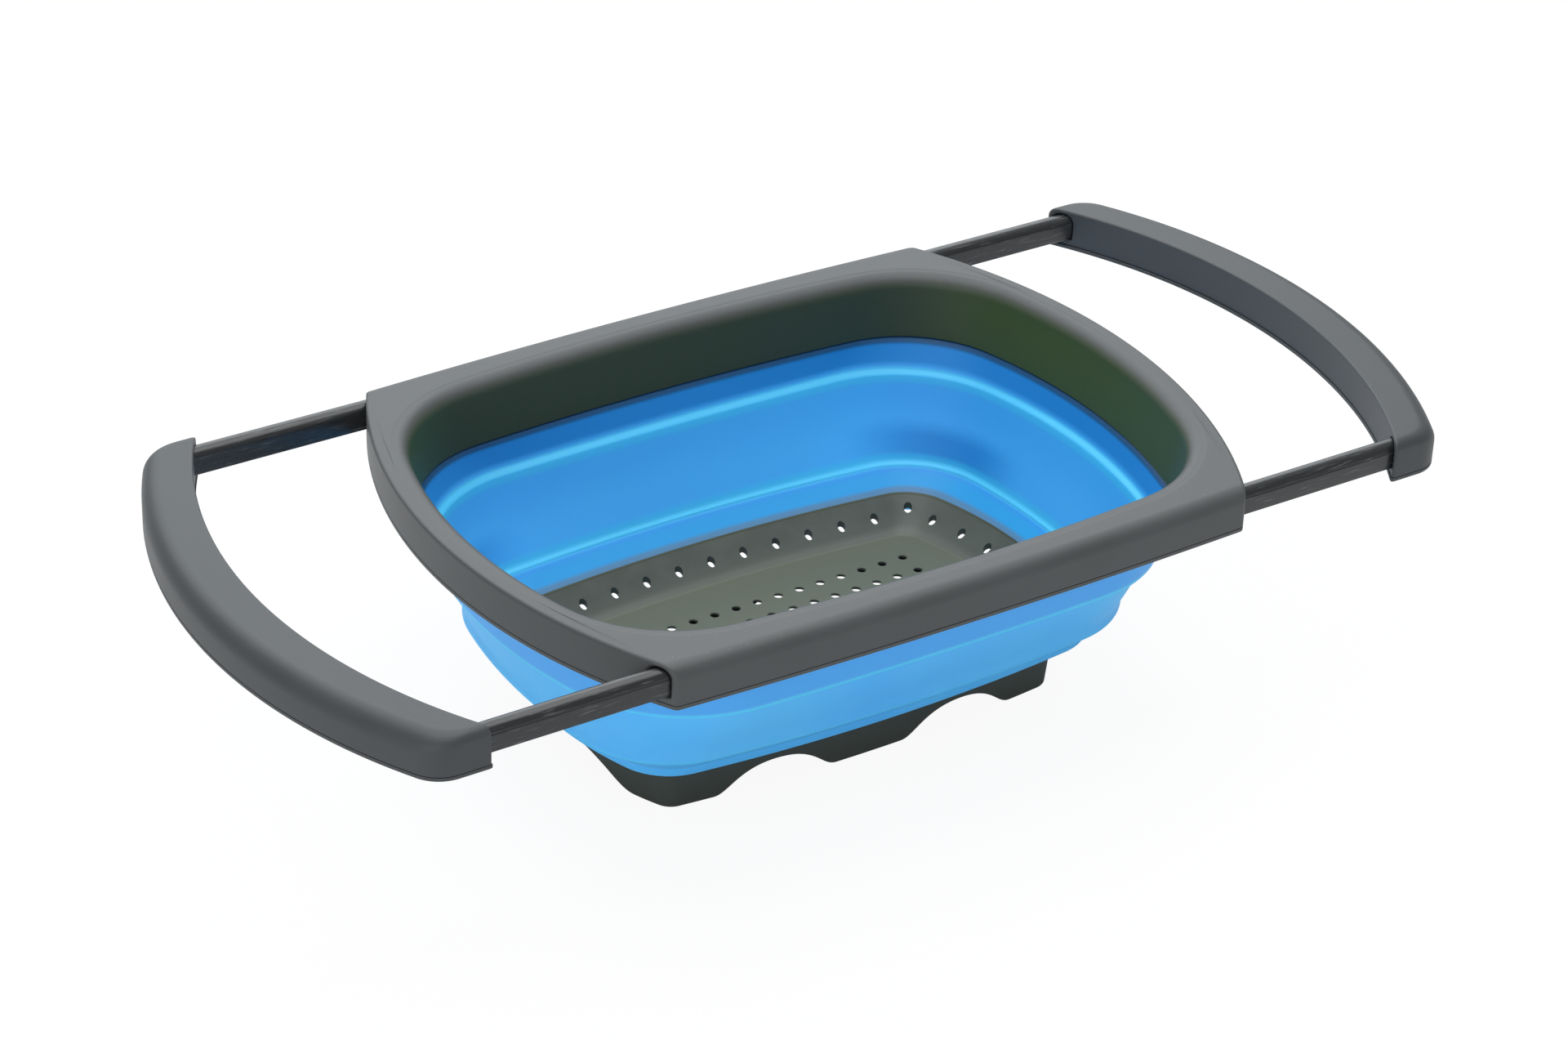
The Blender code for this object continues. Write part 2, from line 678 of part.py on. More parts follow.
def wall_point(share, depth):
    """Outline and level in the main silicone wall, from the lower fold up and from inside out."""
    plan = grown(mixed(lower_fold_plan, upper_fold_plan, share), depth * MAIN_WALL_HEIGHT / wall_slope)
    level = mixed_level(lower_fold_level, upper_fold_level, share)
    return plan, level - depth * LOWER_FOLD_SIDE_INSET / wall_slope


def make_silicone_wall():
    """Main wall between the folds, thinned at both hinges."""
    gap = CLEARANCE / wall_slope
    groove = 2 * SILICONE_THICKNESS / wall_slope
    section = [wall_point(share, depth) for share, depth in (
        (gap, HINGE_GROOVE), (groove, 0.0), (1 - groove, 0.0), (1 - gap, HINGE_GROOVE),
        (1 - gap, SILICONE_THICKNESS - HINGE_GROOVE), (1 - groove, SILICONE_THICKNESS),
        (groove, SILICONE_THICKNESS), (gap, SILICONE_THICKNESS - HINGE_GROOVE))]
    return plan_loft("silicone_wall", section, BOWL_STEPS, parts, is_loop=True)


def make_collar_band():
    """Upper band of the silicone, from the upper fold to its bead inside the rim."""
    root_top = collar_level + ROOT_HEIGHT
    bead_bottom = root_top - BEAD_HEIGHT
    behind = RIM_WALL + CLEARANCE
    step_level = collar_level - CLEARANCE
    inner_low = wall_point(1.0, HINGE_GROOVE)
    outer_low = wall_point(1.0, SILICONE_THICKNESS - HINGE_GROOVE)
    groove_share = 2 * HINGE_GROOVE / UPPER_BAND_HEIGHT
    section = [
        inner_low,
        (mixed(upper_fold_plan, collar_edge_plan, groove_share),
         mixed_level(upper_fold_level, collar_level, groove_share)),
        (grown(collar_edge_plan, COLLAR_STEP), collar_level - COLLAR_STEP_HEIGHT),
        (grown(collar_edge_plan, behind), step_level),
        (grown(collar_inner(root_top), behind), root_top),
        (grown(collar_inner(root_top), behind + ROOT_THICKNESS + BEAD_OVERHANG), root_top),
        (grown(collar_inner(bead_bottom), behind + ROOT_THICKNESS + BEAD_OVERHANG), bead_bottom),
        (grown(collar_inner(bead_bottom), behind + ROOT_THICKNESS), bead_bottom),
        (grown(collar_edge_plan, behind + ROOT_THICKNESS), collar_level),
        (grown(mixed(upper_fold_plan, collar_edge_plan, groove_share), SILICONE_THICKNESS),
         mixed_level(upper_fold_level, collar_level, groove_share)),
        outer_low,
    ]
    return plan_loft("silicone_collar_band", section, BOWL_STEPS, parts, is_loop=True)


def edge_line(reach, drop):
    """Outline and level at a reach from the tray's edge towards the lower fold, at a drop below it."""
    share = reach / TRAY_SIDE_INSET
    return (mixed(tray_plan, lower_fold_plan, share),
            mixed_level(silicone_edge_level, lower_fold_level, share) - drop)


def tray_wall_point(level_above_floor, drop):
    """Outline and level on the tray's sloping wall, at a height above the floor and a drop below."""
    share = level_above_floor / TRAY_DEPTH
    return mixed(floor_plan, tray_plan, share), FLOOR_LEVEL + level_above_floor - drop


def make_foot_band():
    """Lower band of the silicone, moulded round the tray's flange."""
    band_level = silicone_edge_level - FOOT_BAND_DROP
    under_height = TRAY_DEPTH - FOOT_BAND_DROP + TRAY_WALL_DROP
    under_plan, under_level = tray_wall_point(under_height, TRAY_WALL_DROP)
    wall_end = tray_wall_point(TRAY_DEPTH, TRAY_WALL_DROP)
    tip = FLANGE_REACH + CLEARANCE
    edge = grown(tray_plan, FOOT_BAND_REACH)
    section = [
        edge_line(CLEARANCE, 0.0),
        wall_point(-2 * SILICONE_THICKNESS / wall_slope, 0.0),
        wall_point(0.0, HINGE_GROOVE),
        wall_point(0.0, SILICONE_THICKNESS - HINGE_GROOVE),
        wall_point(-SILICONE_THICKNESS / wall_slope, SILICONE_THICKNESS),
        (grown(edge, FOOT_BAND_ROUND), band_level + FOOT_BAND_ROUND),
        (edge, band_level),
        (grown(under_plan, 2 * CLEARANCE), under_level),
        (grown(wall_end[0], 2 * CLEARANCE), wall_end[1]),
        edge_line(tip, flange_bottom_drop + CLEARANCE),
        edge_line(tip, LIP_THICKNESS),
        edge_line(CLEARANCE, LIP_THICKNESS),
    ]
    return plan_loft("silicone_foot_band", section, BOWL_STEPS, parts, is_loop=True)


# Tray

def make_tray():
    """Perforated tray: floor, sloping wall, hidden flange and scalloped foot skirt."""
    sections = [
        tray_wall_point(TRAY_WALL_DROP - FLOOR_THICKNESS, TRAY_WALL_DROP),
        tray_wall_point(TRAY_DEPTH, TRAY_WALL_DROP),
        edge_line(FLANGE_REACH, flange_bottom_drop),
        edge_line(FLANGE_REACH, flange_top_drop),
        (tray_plan, silicone_edge_level - flange_top_drop),
        (tray_plan, silicone_edge_level),
        tray_wall_point(FLOOR_FILLET, 0.0),
        (grown(floor_plan, -FLOOR_FILLET / 2), FLOOR_LEVEL + FLOOR_FILLET / 4),
        (grown(floor_plan, -2 * FLOOR_FILLET), FLOOR_LEVEL),
    ]
    tray = plan_loft("base_tray", sections, BOWL_STEPS, parts)

    skirt_top = grown(foot_plan, SKIRT_TAPER)
    skirt_section = [
        (grown(foot_plan, -SKIRT_WALL), 0.0),
        (foot_plan, 0.0),
        (skirt_top, FLOOR_LEVEL + SKIRT_RISE),
        (grown(skirt_top, -SKIRT_ROOT), FLOOR_LEVEL + SKIRT_RISE),
        (grown(skirt_top, -SKIRT_WALL), FLOOR_LEVEL - FLOOR_THICKNESS / 2),
    ]
    fuse(tray, plan_loft("foot_skirt", skirt_section, BOWL_STEPS, cutters, is_loop=True))

    width = 2 * (foot_plan.half_width + OVERRUN)
    length = 2 * (foot_plan.half_length + OVERRUN)
    for side in (1, -1):
        cut(tray, arch("side_arch_%d" % side, side * SIDE_ARCH_CENTRE, SIDE_ARCH_HALF_WIDTH, width,
                       False))
    cut(tray, arch("end_arch", 0.0, END_ARCH_HALF_WIDTH, length, True))
    cut(tray, pegs("drain_holes", floor_hole_places() + wall_hole_places(), HOLE_DIAMETER / 2,
                   HOLE_DIAMETER / 2, FLOOR_LEVEL - FLOOR_THICKNESS - CLEARANCE,
                   silicone_edge_level, HOLE_FACETS, cutters))
    return tray


def arch(name, centre, half_width, depth, faces_ends):
    """Bell-shaped cutter between two feet, along Y or, for the ends, along X."""
    curve = flat_curve(name, depth)
    spline = curve.splines.new("BEZIER")
    spline.use_cyclic_u = True
    spline.resolution_u = ARCH_RESOLUTION
    foot_handle = half_width * ARCH_FOOT_HANDLE_SHARE
    top_handle = half_width * ARCH_TOP_HANDLE_SHARE
    knots = [
        ((-half_width, 0), (-half_width, -OVERRUN), (-half_width + foot_handle, 0)),
        ((0, ARCH_HEIGHT), (-top_handle, ARCH_HEIGHT), (top_handle, ARCH_HEIGHT)),
        ((half_width, 0), (half_width - foot_handle, 0), (half_width, -OVERRUN)),
        ((half_width, -OVERRUN), (half_width, -OVERRUN), (half_width, -OVERRUN)),
        ((-half_width, -OVERRUN), (-half_width, -OVERRUN), (-half_width, -OVERRUN)),
    ]
    spline.bezier_points.add(len(knots) - 1)
    for point, (place, left, right) in zip(spline.bezier_points, knots):
        point.handle_left_type = "FREE"
        point.handle_right_type = "FREE"
        point.co = (*place, 0)
        point.handle_left = (*left, 0)
        point.handle_right = (*right, 0)
    upright = Matrix.Rotation(math.pi / 2, 4, "X")
    turn = Matrix.Rotation(math.pi / 2, 4, "Z") if faces_ends else Matrix.Translation((centre, 0, 0))
    return curve_mesh(name, curve, turn @ upright, cutters)


def floor_hole_places():
    """Grid of the floor's holes."""
    xs = [(i - (FLOOR_HOLE_COLUMNS - 1) / 2) * FLOOR_HOLE_PITCH_X for i in range(FLOOR_HOLE_COLUMNS)]
    ys = [(i - (FLOOR_HOLE_ROWS - 1) / 2) * FLOOR_HOLE_PITCH_Y for i in range(FLOOR_HOLE_ROWS)]
    return [(x, y) for x in xs for y in ys]


def wall_hole_places():
    """Single row of holes round the sloping wall."""
    ring = mixed(floor_plan, tray_plan, WALL_HOLE_SHARE)
    places = []
    for i in range(WALL_HOLES_PER_SIDE):
        x = (i - (WALL_HOLES_PER_SIDE - 1) / 2) * WALL_HOLE_PITCH_X
        places += [(x, side_y(ring, x)), (x, -side_y(ring, x))]
    for i in range(WALL_HOLES_PER_END):
        y = (i - (WALL_HOLES_PER_END - 1) / 2) * WALL_HOLE_PITCH_Y
        places += [(end_x(ring, y), y), (-end_x(ring, y), y)]
    return places


# Handles

def rod_outline(clearance):
    """Section of a rod in Y and Z, grown by a clearance, anticlockwise."""
    low_y = -clearance
    high_y = ROD_WIDTH + clearance
    low_z = -clearance
    high_z = ROD_HEIGHT + clearance
    top_round = ROD_TOP_ROUND + clearance
    ledge_z = high_z - ROD_LEDGE_DROP
    ledge_y = high_y - ROD_LEDGE_DEPTH
    points = [(low_y, low_z + ROD_BOTTOM_ROUND), (low_y + ROD_BOTTOM_ROUND, low_z),
              (high_y - ROD_BOTTOM_ROUND, low_z), (high_y, low_z + ROD_BOTTOM_ROUND)]
    start = 0.0
    if clearance:
        ledge_y = high_y
    else:
        points += [(high_y, ledge_z - ROD_LEDGE_DEPTH), (ledge_y, ledge_z)]
        start = math.asin((ledge_z - high_z + top_round) / top_round)
    for centre_y, first, last in ((ledge_y - top_round, start, math.pi / 2),
                                  (low_y + top_round, math.pi / 2, math.pi)):
        for i in range(ROD_ROUND_STEPS + 1):
            angle = first + (last - first) * i / ROD_ROUND_STEPS
            points.append((centre_y + top_round * math.cos(angle),
                           high_z - top_round + top_round * math.sin(angle)))
    return points


def rod_prism(name, side, start_x, length, clearance, collection):
    """Bar of the rod's section along X, standing at its place on one side of the rim."""
    curve = flat_curve(name, length)
    points = rod_outline(clearance)
    spline = curve.splines.new("POLY")
    spline.use_cyclic_u = True
    spline.points.add(len(points) - 1)
    for point, (y, z) in zip(spline.points, points):
        point.co = (side * y, z, 0, 1)
    along_x = Matrix(((0, 0, 1, 0), (1, 0, 0, 0), (0, 1, 0, 0), (0, 0, 0, 1)))
    place = Matrix.Translation((start_x + length / 2, side * rod_inner_y, rod_bottom))
    return curve_mesh(name, curve, place @ along_x, collection)


def grip_outline(outer_inset, side_inset, inner_inset, half_width, corner_radius):
    """Crescent outline of a grip, anticlockwise, with its own inset at each edge."""
    outer_radius = GRIP_OUTER_RADIUS - outer_inset
    inner_radius = GRIP_INNER_RADIUS + inner_inset
    outer_centre = Vector((grip_outer_mid_x - GRIP_OUTER_RADIUS, 0))
    inner_centre = Vector((grip_inner_mid_x - GRIP_INNER_RADIUS, 0))
    side = half_width - side_inset
    corner_y = side - corner_radius
    corner_angle = math.asin(corner_y / (outer_radius - corner_radius))
    corner_centre = arc_point(outer_centre, outer_radius - corner_radius, corner_angle)
    inner_angle = math.asin(side / inner_radius)
    points = [arc_point(outer_centre, outer_radius, corner_angle * (2 * i / GRIP_ARC_STEPS - 1))
              for i in range(GRIP_ARC_STEPS + 1)]
    corner = [arc_point(corner_centre, corner_radius,
                        corner_angle + (math.pi / 2 - corner_angle) * i / GRIP_CORNER_STEPS)
              for i in range(1, GRIP_CORNER_STEPS + 1)]
    inner = [arc_point(inner_centre, inner_radius, inner_angle * (1 - 2 * i / GRIP_ARC_STEPS))
             for i in range(GRIP_ARC_STEPS + 1)]
    other_corner = [Vector((p.x, -p.y)) for p in reversed(corner)]
    return points + corner + inner + other_corner


def make_grip(name):
    """Hollow crescent cap with a pocket for each rod and a boss for its middle screw."""
    bottom = rim_level + GRIP_PLATE_THICKNESS + CLEARANCE
    rings = []
    for depth in [rim_top - bottom] + [GRIP_OUTER_FILLET * s for s in FILLET_LEVEL_SHARES]:
        points = grip_outline(fillet_inset(GRIP_OUTER_FILLET, depth),
                              fillet_inset(GRIP_SIDE_FILLET, depth),
                              fillet_inset(GRIP_INNER_FILLET, depth),
                              grip_half_width, GRIP_CORNER_RADIUS)
        rings.append((points, rim_top - depth))
    grip = loft(name, rings, parts)

    inner_fillet = GRIP_OUTER_FILLET - GRIP_WALL
    cavity_top = rim_top - GRIP_WALL
    cavity = []
    for share in FILLET_LEVEL_SHARES[:-1]:
        inset = fillet_inset(inner_fillet, inner_fillet * share) + GRIP_WALL
        points = grip_outline(inset, 0.0, GRIP_WALL, rod_inner_y - GRIP_CAVITY_INSET,
                              GRIP_CAVITY_CORNER)
        cavity.append((points, cavity_top - inner_fillet * share))
    cavity.insert(0, (cavity[0][0], rim_level - OVERRUN))
    cut(grip, loft(name + "_cavity", cavity, cutters))

    middle_x, middle_y = grip_screw_places()[0]
    boss = pegs(name + "_boss", [(middle_x, middle_y)], BOSS_RADIUS, BOSS_RADIUS, bottom,
                cavity_top + GRIP_WALL / 2, BOSS_FACETS, cutters)
    fuse(grip, boss)
    pocket_start = arc_x(grip_inner_mid_x, GRIP_INNER_RADIUS, rod_outer_y) - OVERRUN
    for side in (1, -1):
        pocket = rod_prism(name + "_pocket_%d" % side, side, pocket_start,
                           rod_end_x + CLEARANCE - pocket_start, CLEARANCE, cutters)
        cut(grip, pocket)
    cut(grip, pegs(name + "_pilots", grip_screw_places(), pilot_radius, pilot_radius,
                   rim_level - OVERRUN, pilot_top, SCREW_FACETS, cutters))
    return grip


def grip_screw_places():
    """Middle screw of a grip and the two that hold the rods."""
    middle_x = (grip_outer_mid_x + grip_inner_mid_x) / 2
    screw_x = rod_end_x - GRIP_SCREW_INSET
    return [(middle_x, 0.0), (screw_x, rod_middle_y), (screw_x, -rod_middle_y)]


def make_grip_plate(name):
    """Plate that closes a grip from below, with a thin lip along its inner edge."""
    rings = []
    for inset, level in ((GRIP_PLATE_ROUND, rim_level), (0.0, rim_level + GRIP_PLATE_ROUND),
                         (0.0, rim_level + GRIP_PLATE_THICKNESS)):
        rings.append((grip_outline(inset, inset, inset - GRIP_PLATE_LIP, grip_half_width,
                                   GRIP_CORNER_RADIUS), level))
    plate = loft(name, rings, parts)
    for seat in screw_seats(name, grip_screw_places(), rim_level, rim_level + GRIP_PLATE_THICKNESS):
        cut(plate, seat)
    return plate


def make_rod(name, side):
    """Flat rod with a stop head at its inner end, cored from below and drilled at its outer end."""
    length = rod_end_x - rod_start_x
    rod = rod_prism(name, side, rod_start_x, length, 0.0, parts)
    head = box(name + "_head",
               *corners(1, side, rod_start_x, rod_start_x + ROD_HEAD_LENGTH,
                        rod_inner_y - ROD_HEAD_REACH, rod_inner_y + ROD_WIDTH / 4,
                        rod_bottom, rod_bottom + ROD_HEAD_HEIGHT), cutters)
    fuse(rod, head)
    for index in range(2):
        start = rod_start_x + ROD_HEAD_LENGTH + index * (ROD_POCKET_LENGTH + ROD_POCKET_GAP)
        pocket = box(name + "_core_%d" % index,
                     *corners(1, side, start, start + ROD_POCKET_LENGTH,
                              rod_middle_y - ROD_POCKET_WIDTH / 2,
                              rod_middle_y + ROD_POCKET_WIDTH / 2,
                              rod_bottom - OVERRUN, rod_bottom + ROD_POCKET_DEPTH), cutters)
        cut(rod, pocket)
    cut(rod, pegs(name + "_pilot", [(rod_end_x - GRIP_SCREW_INSET, side * rod_middle_y)],
                  pilot_radius, pilot_radius, rod_bottom - OVERRUN, pilot_top, SCREW_FACETS, cutters))
    return rod


def make_handle(name, turn, rim_slide):
    """One handle, built at +X and turned to its end: grip, plate, two rods and three screws."""
    slide = slide_empty(name + "_slide", (0, 0, 0), turn)
    slide.parent = rim_slide
    slide.matrix_parent_inverse = Matrix.Translation(rim_slide.location).inverted()
    before = set(bpy.data.objects)
    grip = make_grip(name + "_grip")
    grip.data.materials.append(material(name + "_grip_plastic", GRIP_PLASTIC))
    plate = make_grip_plate(name + "_under_plate")
    plate.data.materials.append(material(name + "_plate_plastic", PLATE_PLASTIC))
    for side, end_name in ((-1, "front"), (1, "rear")):
        facing = end_name if not turn else {"front": "rear", "rear": "front"}[end_name]
        rod = make_rod("%s_rod_%s" % (name, facing), side)
        rod.data.materials.append(material("%s_rod_%s_plastic" % (name, facing), ROD_PLASTIC))
    for index, (x, y) in enumerate(grip_screw_places()):
        make_screw("%s_screw_%d" % (name, index + 1), (x, y, rim_level + SCREW_RECESS),
                   material("%s_screw_%d_steel" % (name, index + 1), SCREW_STEEL))
    for made in set(bpy.data.objects) - before:
        made.parent = slide
    return slide


# Assembly

for leftover in list(bpy.data.objects):
    bpy.data.objects.remove(leftover)

parts = fresh_collection("collapsible_colander")
cutters = fresh_collection("cutters")

tray_piece = make_tray()
tray_piece.data.materials.append(material("tray_plastic", TRAY_PLASTIC))
foot_band = make_foot_band()
foot_band.data.materials.append(material("foot_band_silicone", BLUE_SILICONE))
main_wall = make_silicone_wall()
main_wall.data.materials.append(material("main_wall_silicone", BLUE_SILICONE))

rim_cover = make_cover()
rim_cover.data.materials.append(material("rim_plastic", RIM_PLASTIC))
under_ring = make_under_ring()
under_ring.data.materials.append(material("ring_plastic", RING_PLASTIC))
collar_band = make_collar_band()
collar_band.data.materials.append(material("collar_band_silicone", BLUE_SILICONE))
rim_screws = [make_screw("rim_screw_%d" % (i + 1), (x, y, rim_level + SCREW_RECESS),
                         material("rim_screw_%d_steel" % (i + 1), SCREW_STEEL))
              for i, (x, y) in enumerate(rim_screw_places())]

rim_carrier = slide_empty("rim_slide", (0, 0, rim_level), 0.0)
carry(rim_carrier, [rim_cover, under_ring, collar_band] + rim_screws)
make_handle("handle_right", 0.0, rim_carrier)
make_handle("handle_left", math.pi, rim_carrier)
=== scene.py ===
"""Looks of a collapsible over-the-sink colander.

A barrel-shaped rim holds a blue silicone bellows, a perforated tray stands on scalloped feet, and two
handles slide out of the rim on flat rods. Lengths are in metres, X runs from handle to handle, Z is up.
"""

import logging
import math
from collections.abc import Callable
from dataclasses import dataclass, replace
from enum import Enum

import bmesh
import bpy
from mathutils import Matrix, Vector


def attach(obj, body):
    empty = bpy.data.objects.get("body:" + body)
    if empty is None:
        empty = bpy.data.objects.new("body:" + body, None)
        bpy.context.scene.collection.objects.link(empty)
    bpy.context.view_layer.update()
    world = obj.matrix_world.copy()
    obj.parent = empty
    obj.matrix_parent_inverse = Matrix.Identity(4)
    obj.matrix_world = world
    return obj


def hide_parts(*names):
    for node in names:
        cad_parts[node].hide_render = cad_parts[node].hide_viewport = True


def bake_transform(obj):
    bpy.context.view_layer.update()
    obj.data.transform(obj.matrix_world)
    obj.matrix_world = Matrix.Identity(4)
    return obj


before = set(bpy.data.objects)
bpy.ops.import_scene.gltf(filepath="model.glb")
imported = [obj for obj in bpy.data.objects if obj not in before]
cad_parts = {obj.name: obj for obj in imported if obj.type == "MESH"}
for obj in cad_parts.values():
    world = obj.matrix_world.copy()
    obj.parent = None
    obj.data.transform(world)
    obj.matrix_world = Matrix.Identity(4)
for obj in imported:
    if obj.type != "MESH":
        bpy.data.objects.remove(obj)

log = logging.getLogger("colander")

Colour = tuple[float, float, float]
Paint = bpy.types.Material
Pair = tuple[float, float]
Piece = bpy.types.Object
Places = list[Pair]
Ring = list[Vector]
Socket = bpy.types.NodeSocket
Triple = tuple[float, float, float]

QUARTER_TURN = (0.0, 0.4, 0.8, 1.2, math.pi / 2)
WHITE = (1.0, 1.0, 1.0, 1.0)


class Body(Enum):
    """Bodies that move against each other."""

    BASE = "base"
    RIM = "rim"
    RIGHT = "handle_right"
    LEFT = "handle_left"


class Clip(Enum):
    """Ways to close a row of outlines."""

    CAPPED = "capped at both ends"
    LOOP = "last outline joined to the first"


# Outlines


@dataclass(frozen=True)
class RingSteps:
    """Steps along each quarter of an outline: end arc, corner arc, side arc."""

    end: int
    corner: int
    side: int


@dataclass(frozen=True)
class BarrelPlan:
    """Outline with two bowed ends, two bowed long sides and four rounded corners."""

    half_length: float
    half_width: float
    end_radius: float
    side_radius: float
    corner_radius: float

    def grown(self, distance: float) -> "BarrelPlan":
        """Move every wall outwards by a distance."""
        return BarrelPlan(self.half_length + distance, self.half_width + distance,
                          self.end_radius + distance, self.side_radius + distance,
                          self.corner_radius + distance)

    def mixed(self, other: "BarrelPlan", share: float) -> "BarrelPlan":
        """Blend with another outline.

        Args:
            other: Outline that a share of 1 gives.
            share: Part of the way from this outline to the other.

        Returns:
            The outline between the two.
        """
        pairs = zip(vars(self).values(), vars(other).values())
        return BarrelPlan(*(a + (b - a) * share for a, b in pairs))

    def end_x(self, y: float) -> float:
        """Half length of the bowed end at a distance along Y."""
        return self.half_length - self.end_radius + math.sqrt(self.end_radius ** 2 - y ** 2)

    def ring(self, level: float, steps: RingSteps) -> Ring:
        """Points round the outline.

        Args:
            level: Height of the points.
            steps: Steps along each quarter.

        Returns:
            A closed list of points, anticlockwise from +X.
        """
        end_centre = Vector((self.half_length - self.end_radius, 0))
        side_centre = Vector((0, self.half_width - self.side_radius))
        to_end = self.end_radius - self.corner_radius
        to_side = self.side_radius - self.corner_radius
        between = side_centre - end_centre
        along = (to_end ** 2 - to_side ** 2 + between.length_squared) / (2 * between.length)
        aside = math.sqrt(max(to_end ** 2 - along ** 2, 0))
        unit = between.normalized()
        normal = Vector((-unit.y, unit.x))
        foot = end_centre + unit * along
        centre = max((foot + normal * aside, foot - normal * aside), key=lambda c: c.x + c.y)
        end_angle = math.atan2(centre.y - end_centre.y, centre.x - end_centre.x)
        side_angle = math.atan2(centre.y - side_centre.y, centre.x - side_centre.x)
        quarter = arc(end_centre, self.end_radius, 0, end_angle, steps.end)[:-1]
        quarter += arc(centre, self.corner_radius, end_angle, side_angle, steps.corner)[:-1]
        quarter += arc(side_centre, self.side_radius, side_angle, math.pi / 2, steps.side)
        half = quarter + [Vector((-p.x, p.y)) for p in reversed(quarter[:-1])]
        whole = half + [Vector((p.x, -p.y)) for p in reversed(half[1:-1])]
        return [Vector((p.x, p.y, level)) for p in whole]


Row = tuple[BarrelPlan, float]


@dataclass(frozen=True)
class Levels:
    """Heights above the feet."""

    floor: float = 0.0199
    edge: float = 0.0325
    lower_fold: float = 0.0413
    notch: float = 0.0742
    upper_fold: float = 0.0800
    collar: float = 0.0940
    rim: float = 0.1045
    rim_top: float = 0.1239


@dataclass(frozen=True)
class Plans:
    """Outlines of the bowl's bands and the rim."""

    rim: BarrelPlan = BarrelPlan(0.1747, 0.1325, 0.2570, 3.0, 0.0030)
    collar: BarrelPlan = BarrelPlan(0.1610, 0.1120, 0.2330, 1.1200, 0.0580)
    collar_edge: BarrelPlan = BarrelPlan(0.1563, 0.1104, 0.2360, 1.3000, 0.0546)
    upper_fold: BarrelPlan = BarrelPlan(0.1529, 0.1063, 0.2120, 2.2620, 0.0620)
    lower_fold: BarrelPlan = BarrelPlan(0.1339, 0.0865, 0.2640, 0.9320, 0.0410)
    tray: BarrelPlan = BarrelPlan(0.1230, 0.0743, 0.1580, 0.8180, 0.0232)
    floor: BarrelPlan = BarrelPlan(0.1095, 0.0607, 0.1300, 0.8150, 0.0120)
    foot: BarrelPlan = BarrelPlan(0.1120, 0.0630, 0.1180, 0.8150, 0.0090)
    edge_to_fold: float = 0.0122

    def flange(self, levels: Levels, reach: float) -> Row:
        """Outline and level on the line from the tray's edge towards the lower fold.

        Args:
            levels: Heights of the two.
            reach: Distance outwards from the tray's edge.

        Returns:
            The outline and its level.
        """
        share = reach / self.edge_to_fold
        level = levels.edge + (levels.lower_fold - levels.edge) * share
        return self.tray.mixed(self.lower_fold, share), level


def arc(centre: Vector, radius: float, first: float, last: float, steps: int) -> Ring:
    """Points along an arc in the plane.

    Args:
        centre: Centre of the circle.
        radius: Its radius.
        first: Angle of the first point.
        last: Angle of the last point.
        steps: Steps between the two.

    Returns:
        The points, both ends included.
    """
    angles = [first + (last - first) * i / steps for i in range(steps + 1)]
    return [Vector((centre[0] + radius * math.cos(a), centre[1] + radius * math.sin(a))) for a in angles]


def rounded_inset(radius: float, depth: float) -> float:
    """How far a rounded upper edge lies inwards at a depth below the top."""
    return 0.0 if depth >= radius else radius - math.sqrt(radius ** 2 - (radius - depth) ** 2)


def smooth_step(value: float, low: float, high: float) -> float:
    """Smooth step from 0 at low to 1 at high."""
    share = min(max((value - low) / (high - low), 0.0), 1.0)
    return share * share * (3 - 2 * share)


def under_edge(radius: float) -> Places:
    """Insets and rises round a lower edge, from the underside out to the wall."""
    return [(radius - radius * math.cos(a), radius - radius * math.sin(a)) for a in reversed(QUARTER_TURN)]


def rounding_depths(radius: float, steps: int) -> list[float]:
    """Depths below the top at even angles round an edge, the deepest first."""
    return [radius * (1 - math.sin(math.pi / 2 * i / steps)) for i in range(steps + 1)]


# Meshes


def skin(name: str, rings: list[Ring], clip: Clip) -> Piece:
    """Skin a row of closed outlines of the same count.

    Args:
        name: Name of the new object.
        rings: Outlines in order.
        clip: How the row is closed.

    Returns:
        A closed mesh object with its faces outwards.
    """
    count = len(rings[0])
    verts = [point for ring in rings for point in ring]
    pairs = [(i, i + 1) for i in range(len(rings) - 1)]
    faces = []
    if clip is Clip.LOOP:
        pairs.append((len(rings) - 1, 0))
    else:
        faces = [list(reversed(range(count))), [(len(rings) - 1) * count + i for i in range(count)]]
    for a, b in pairs:
        for i in range(count):
            j = (i + 1) % count
            faces.append([a * count + i, a * count + j, b * count + j, b * count + i])
    mesh = bpy.data.meshes.new(name)
    mesh.from_pydata(verts, [], faces)
    shape = bmesh.new()
    shape.from_mesh(mesh)
    bmesh.ops.recalc_face_normals(shape, faces=shape.faces)
    shape.to_mesh(mesh)
    shape.free()
    made = shown(name, mesh)
    soften(made)
    return made


def loft(name: str, rows: list[Row], steps: RingSteps, clip: Clip) -> Piece:
    """Skin outlines at their levels."""
    return skin(name, [plan.ring(level, steps) for plan, level in rows], clip)


def shown(name: str, data: bpy.types.ID) -> Piece:
    """New object of a mesh, lamp or camera, linked to the scene.

    Args:
        name: Name of the object.
        data: What it shows.

    Returns:
        The object.
    """
    made = bpy.data.objects.new(name, data)
    bpy.context.scene.collection.objects.link(made)
    return made


def soften(piece: Piece, angle: float = 34.0) -> None:
    """Shade a piece smoothly but for edges sharper than an angle in degrees."""
    piece.data.shade_smooth()
    piece.data.set_sharp_from_angle(angle=math.radians(angle))


def settle(piece: Piece) -> Piece:
    """Turn a piece with its modifiers into a plain mesh.

    Args:
        piece: Object with modifiers.

    Returns:
        The same object without them.
    """
    graph = bpy.context.evaluated_depsgraph_get()
    mesh = bpy.data.meshes.new_from_object(piece.evaluated_get(graph))
    piece.modifiers.clear()
    piece.data = mesh
    soften(piece)
    return piece


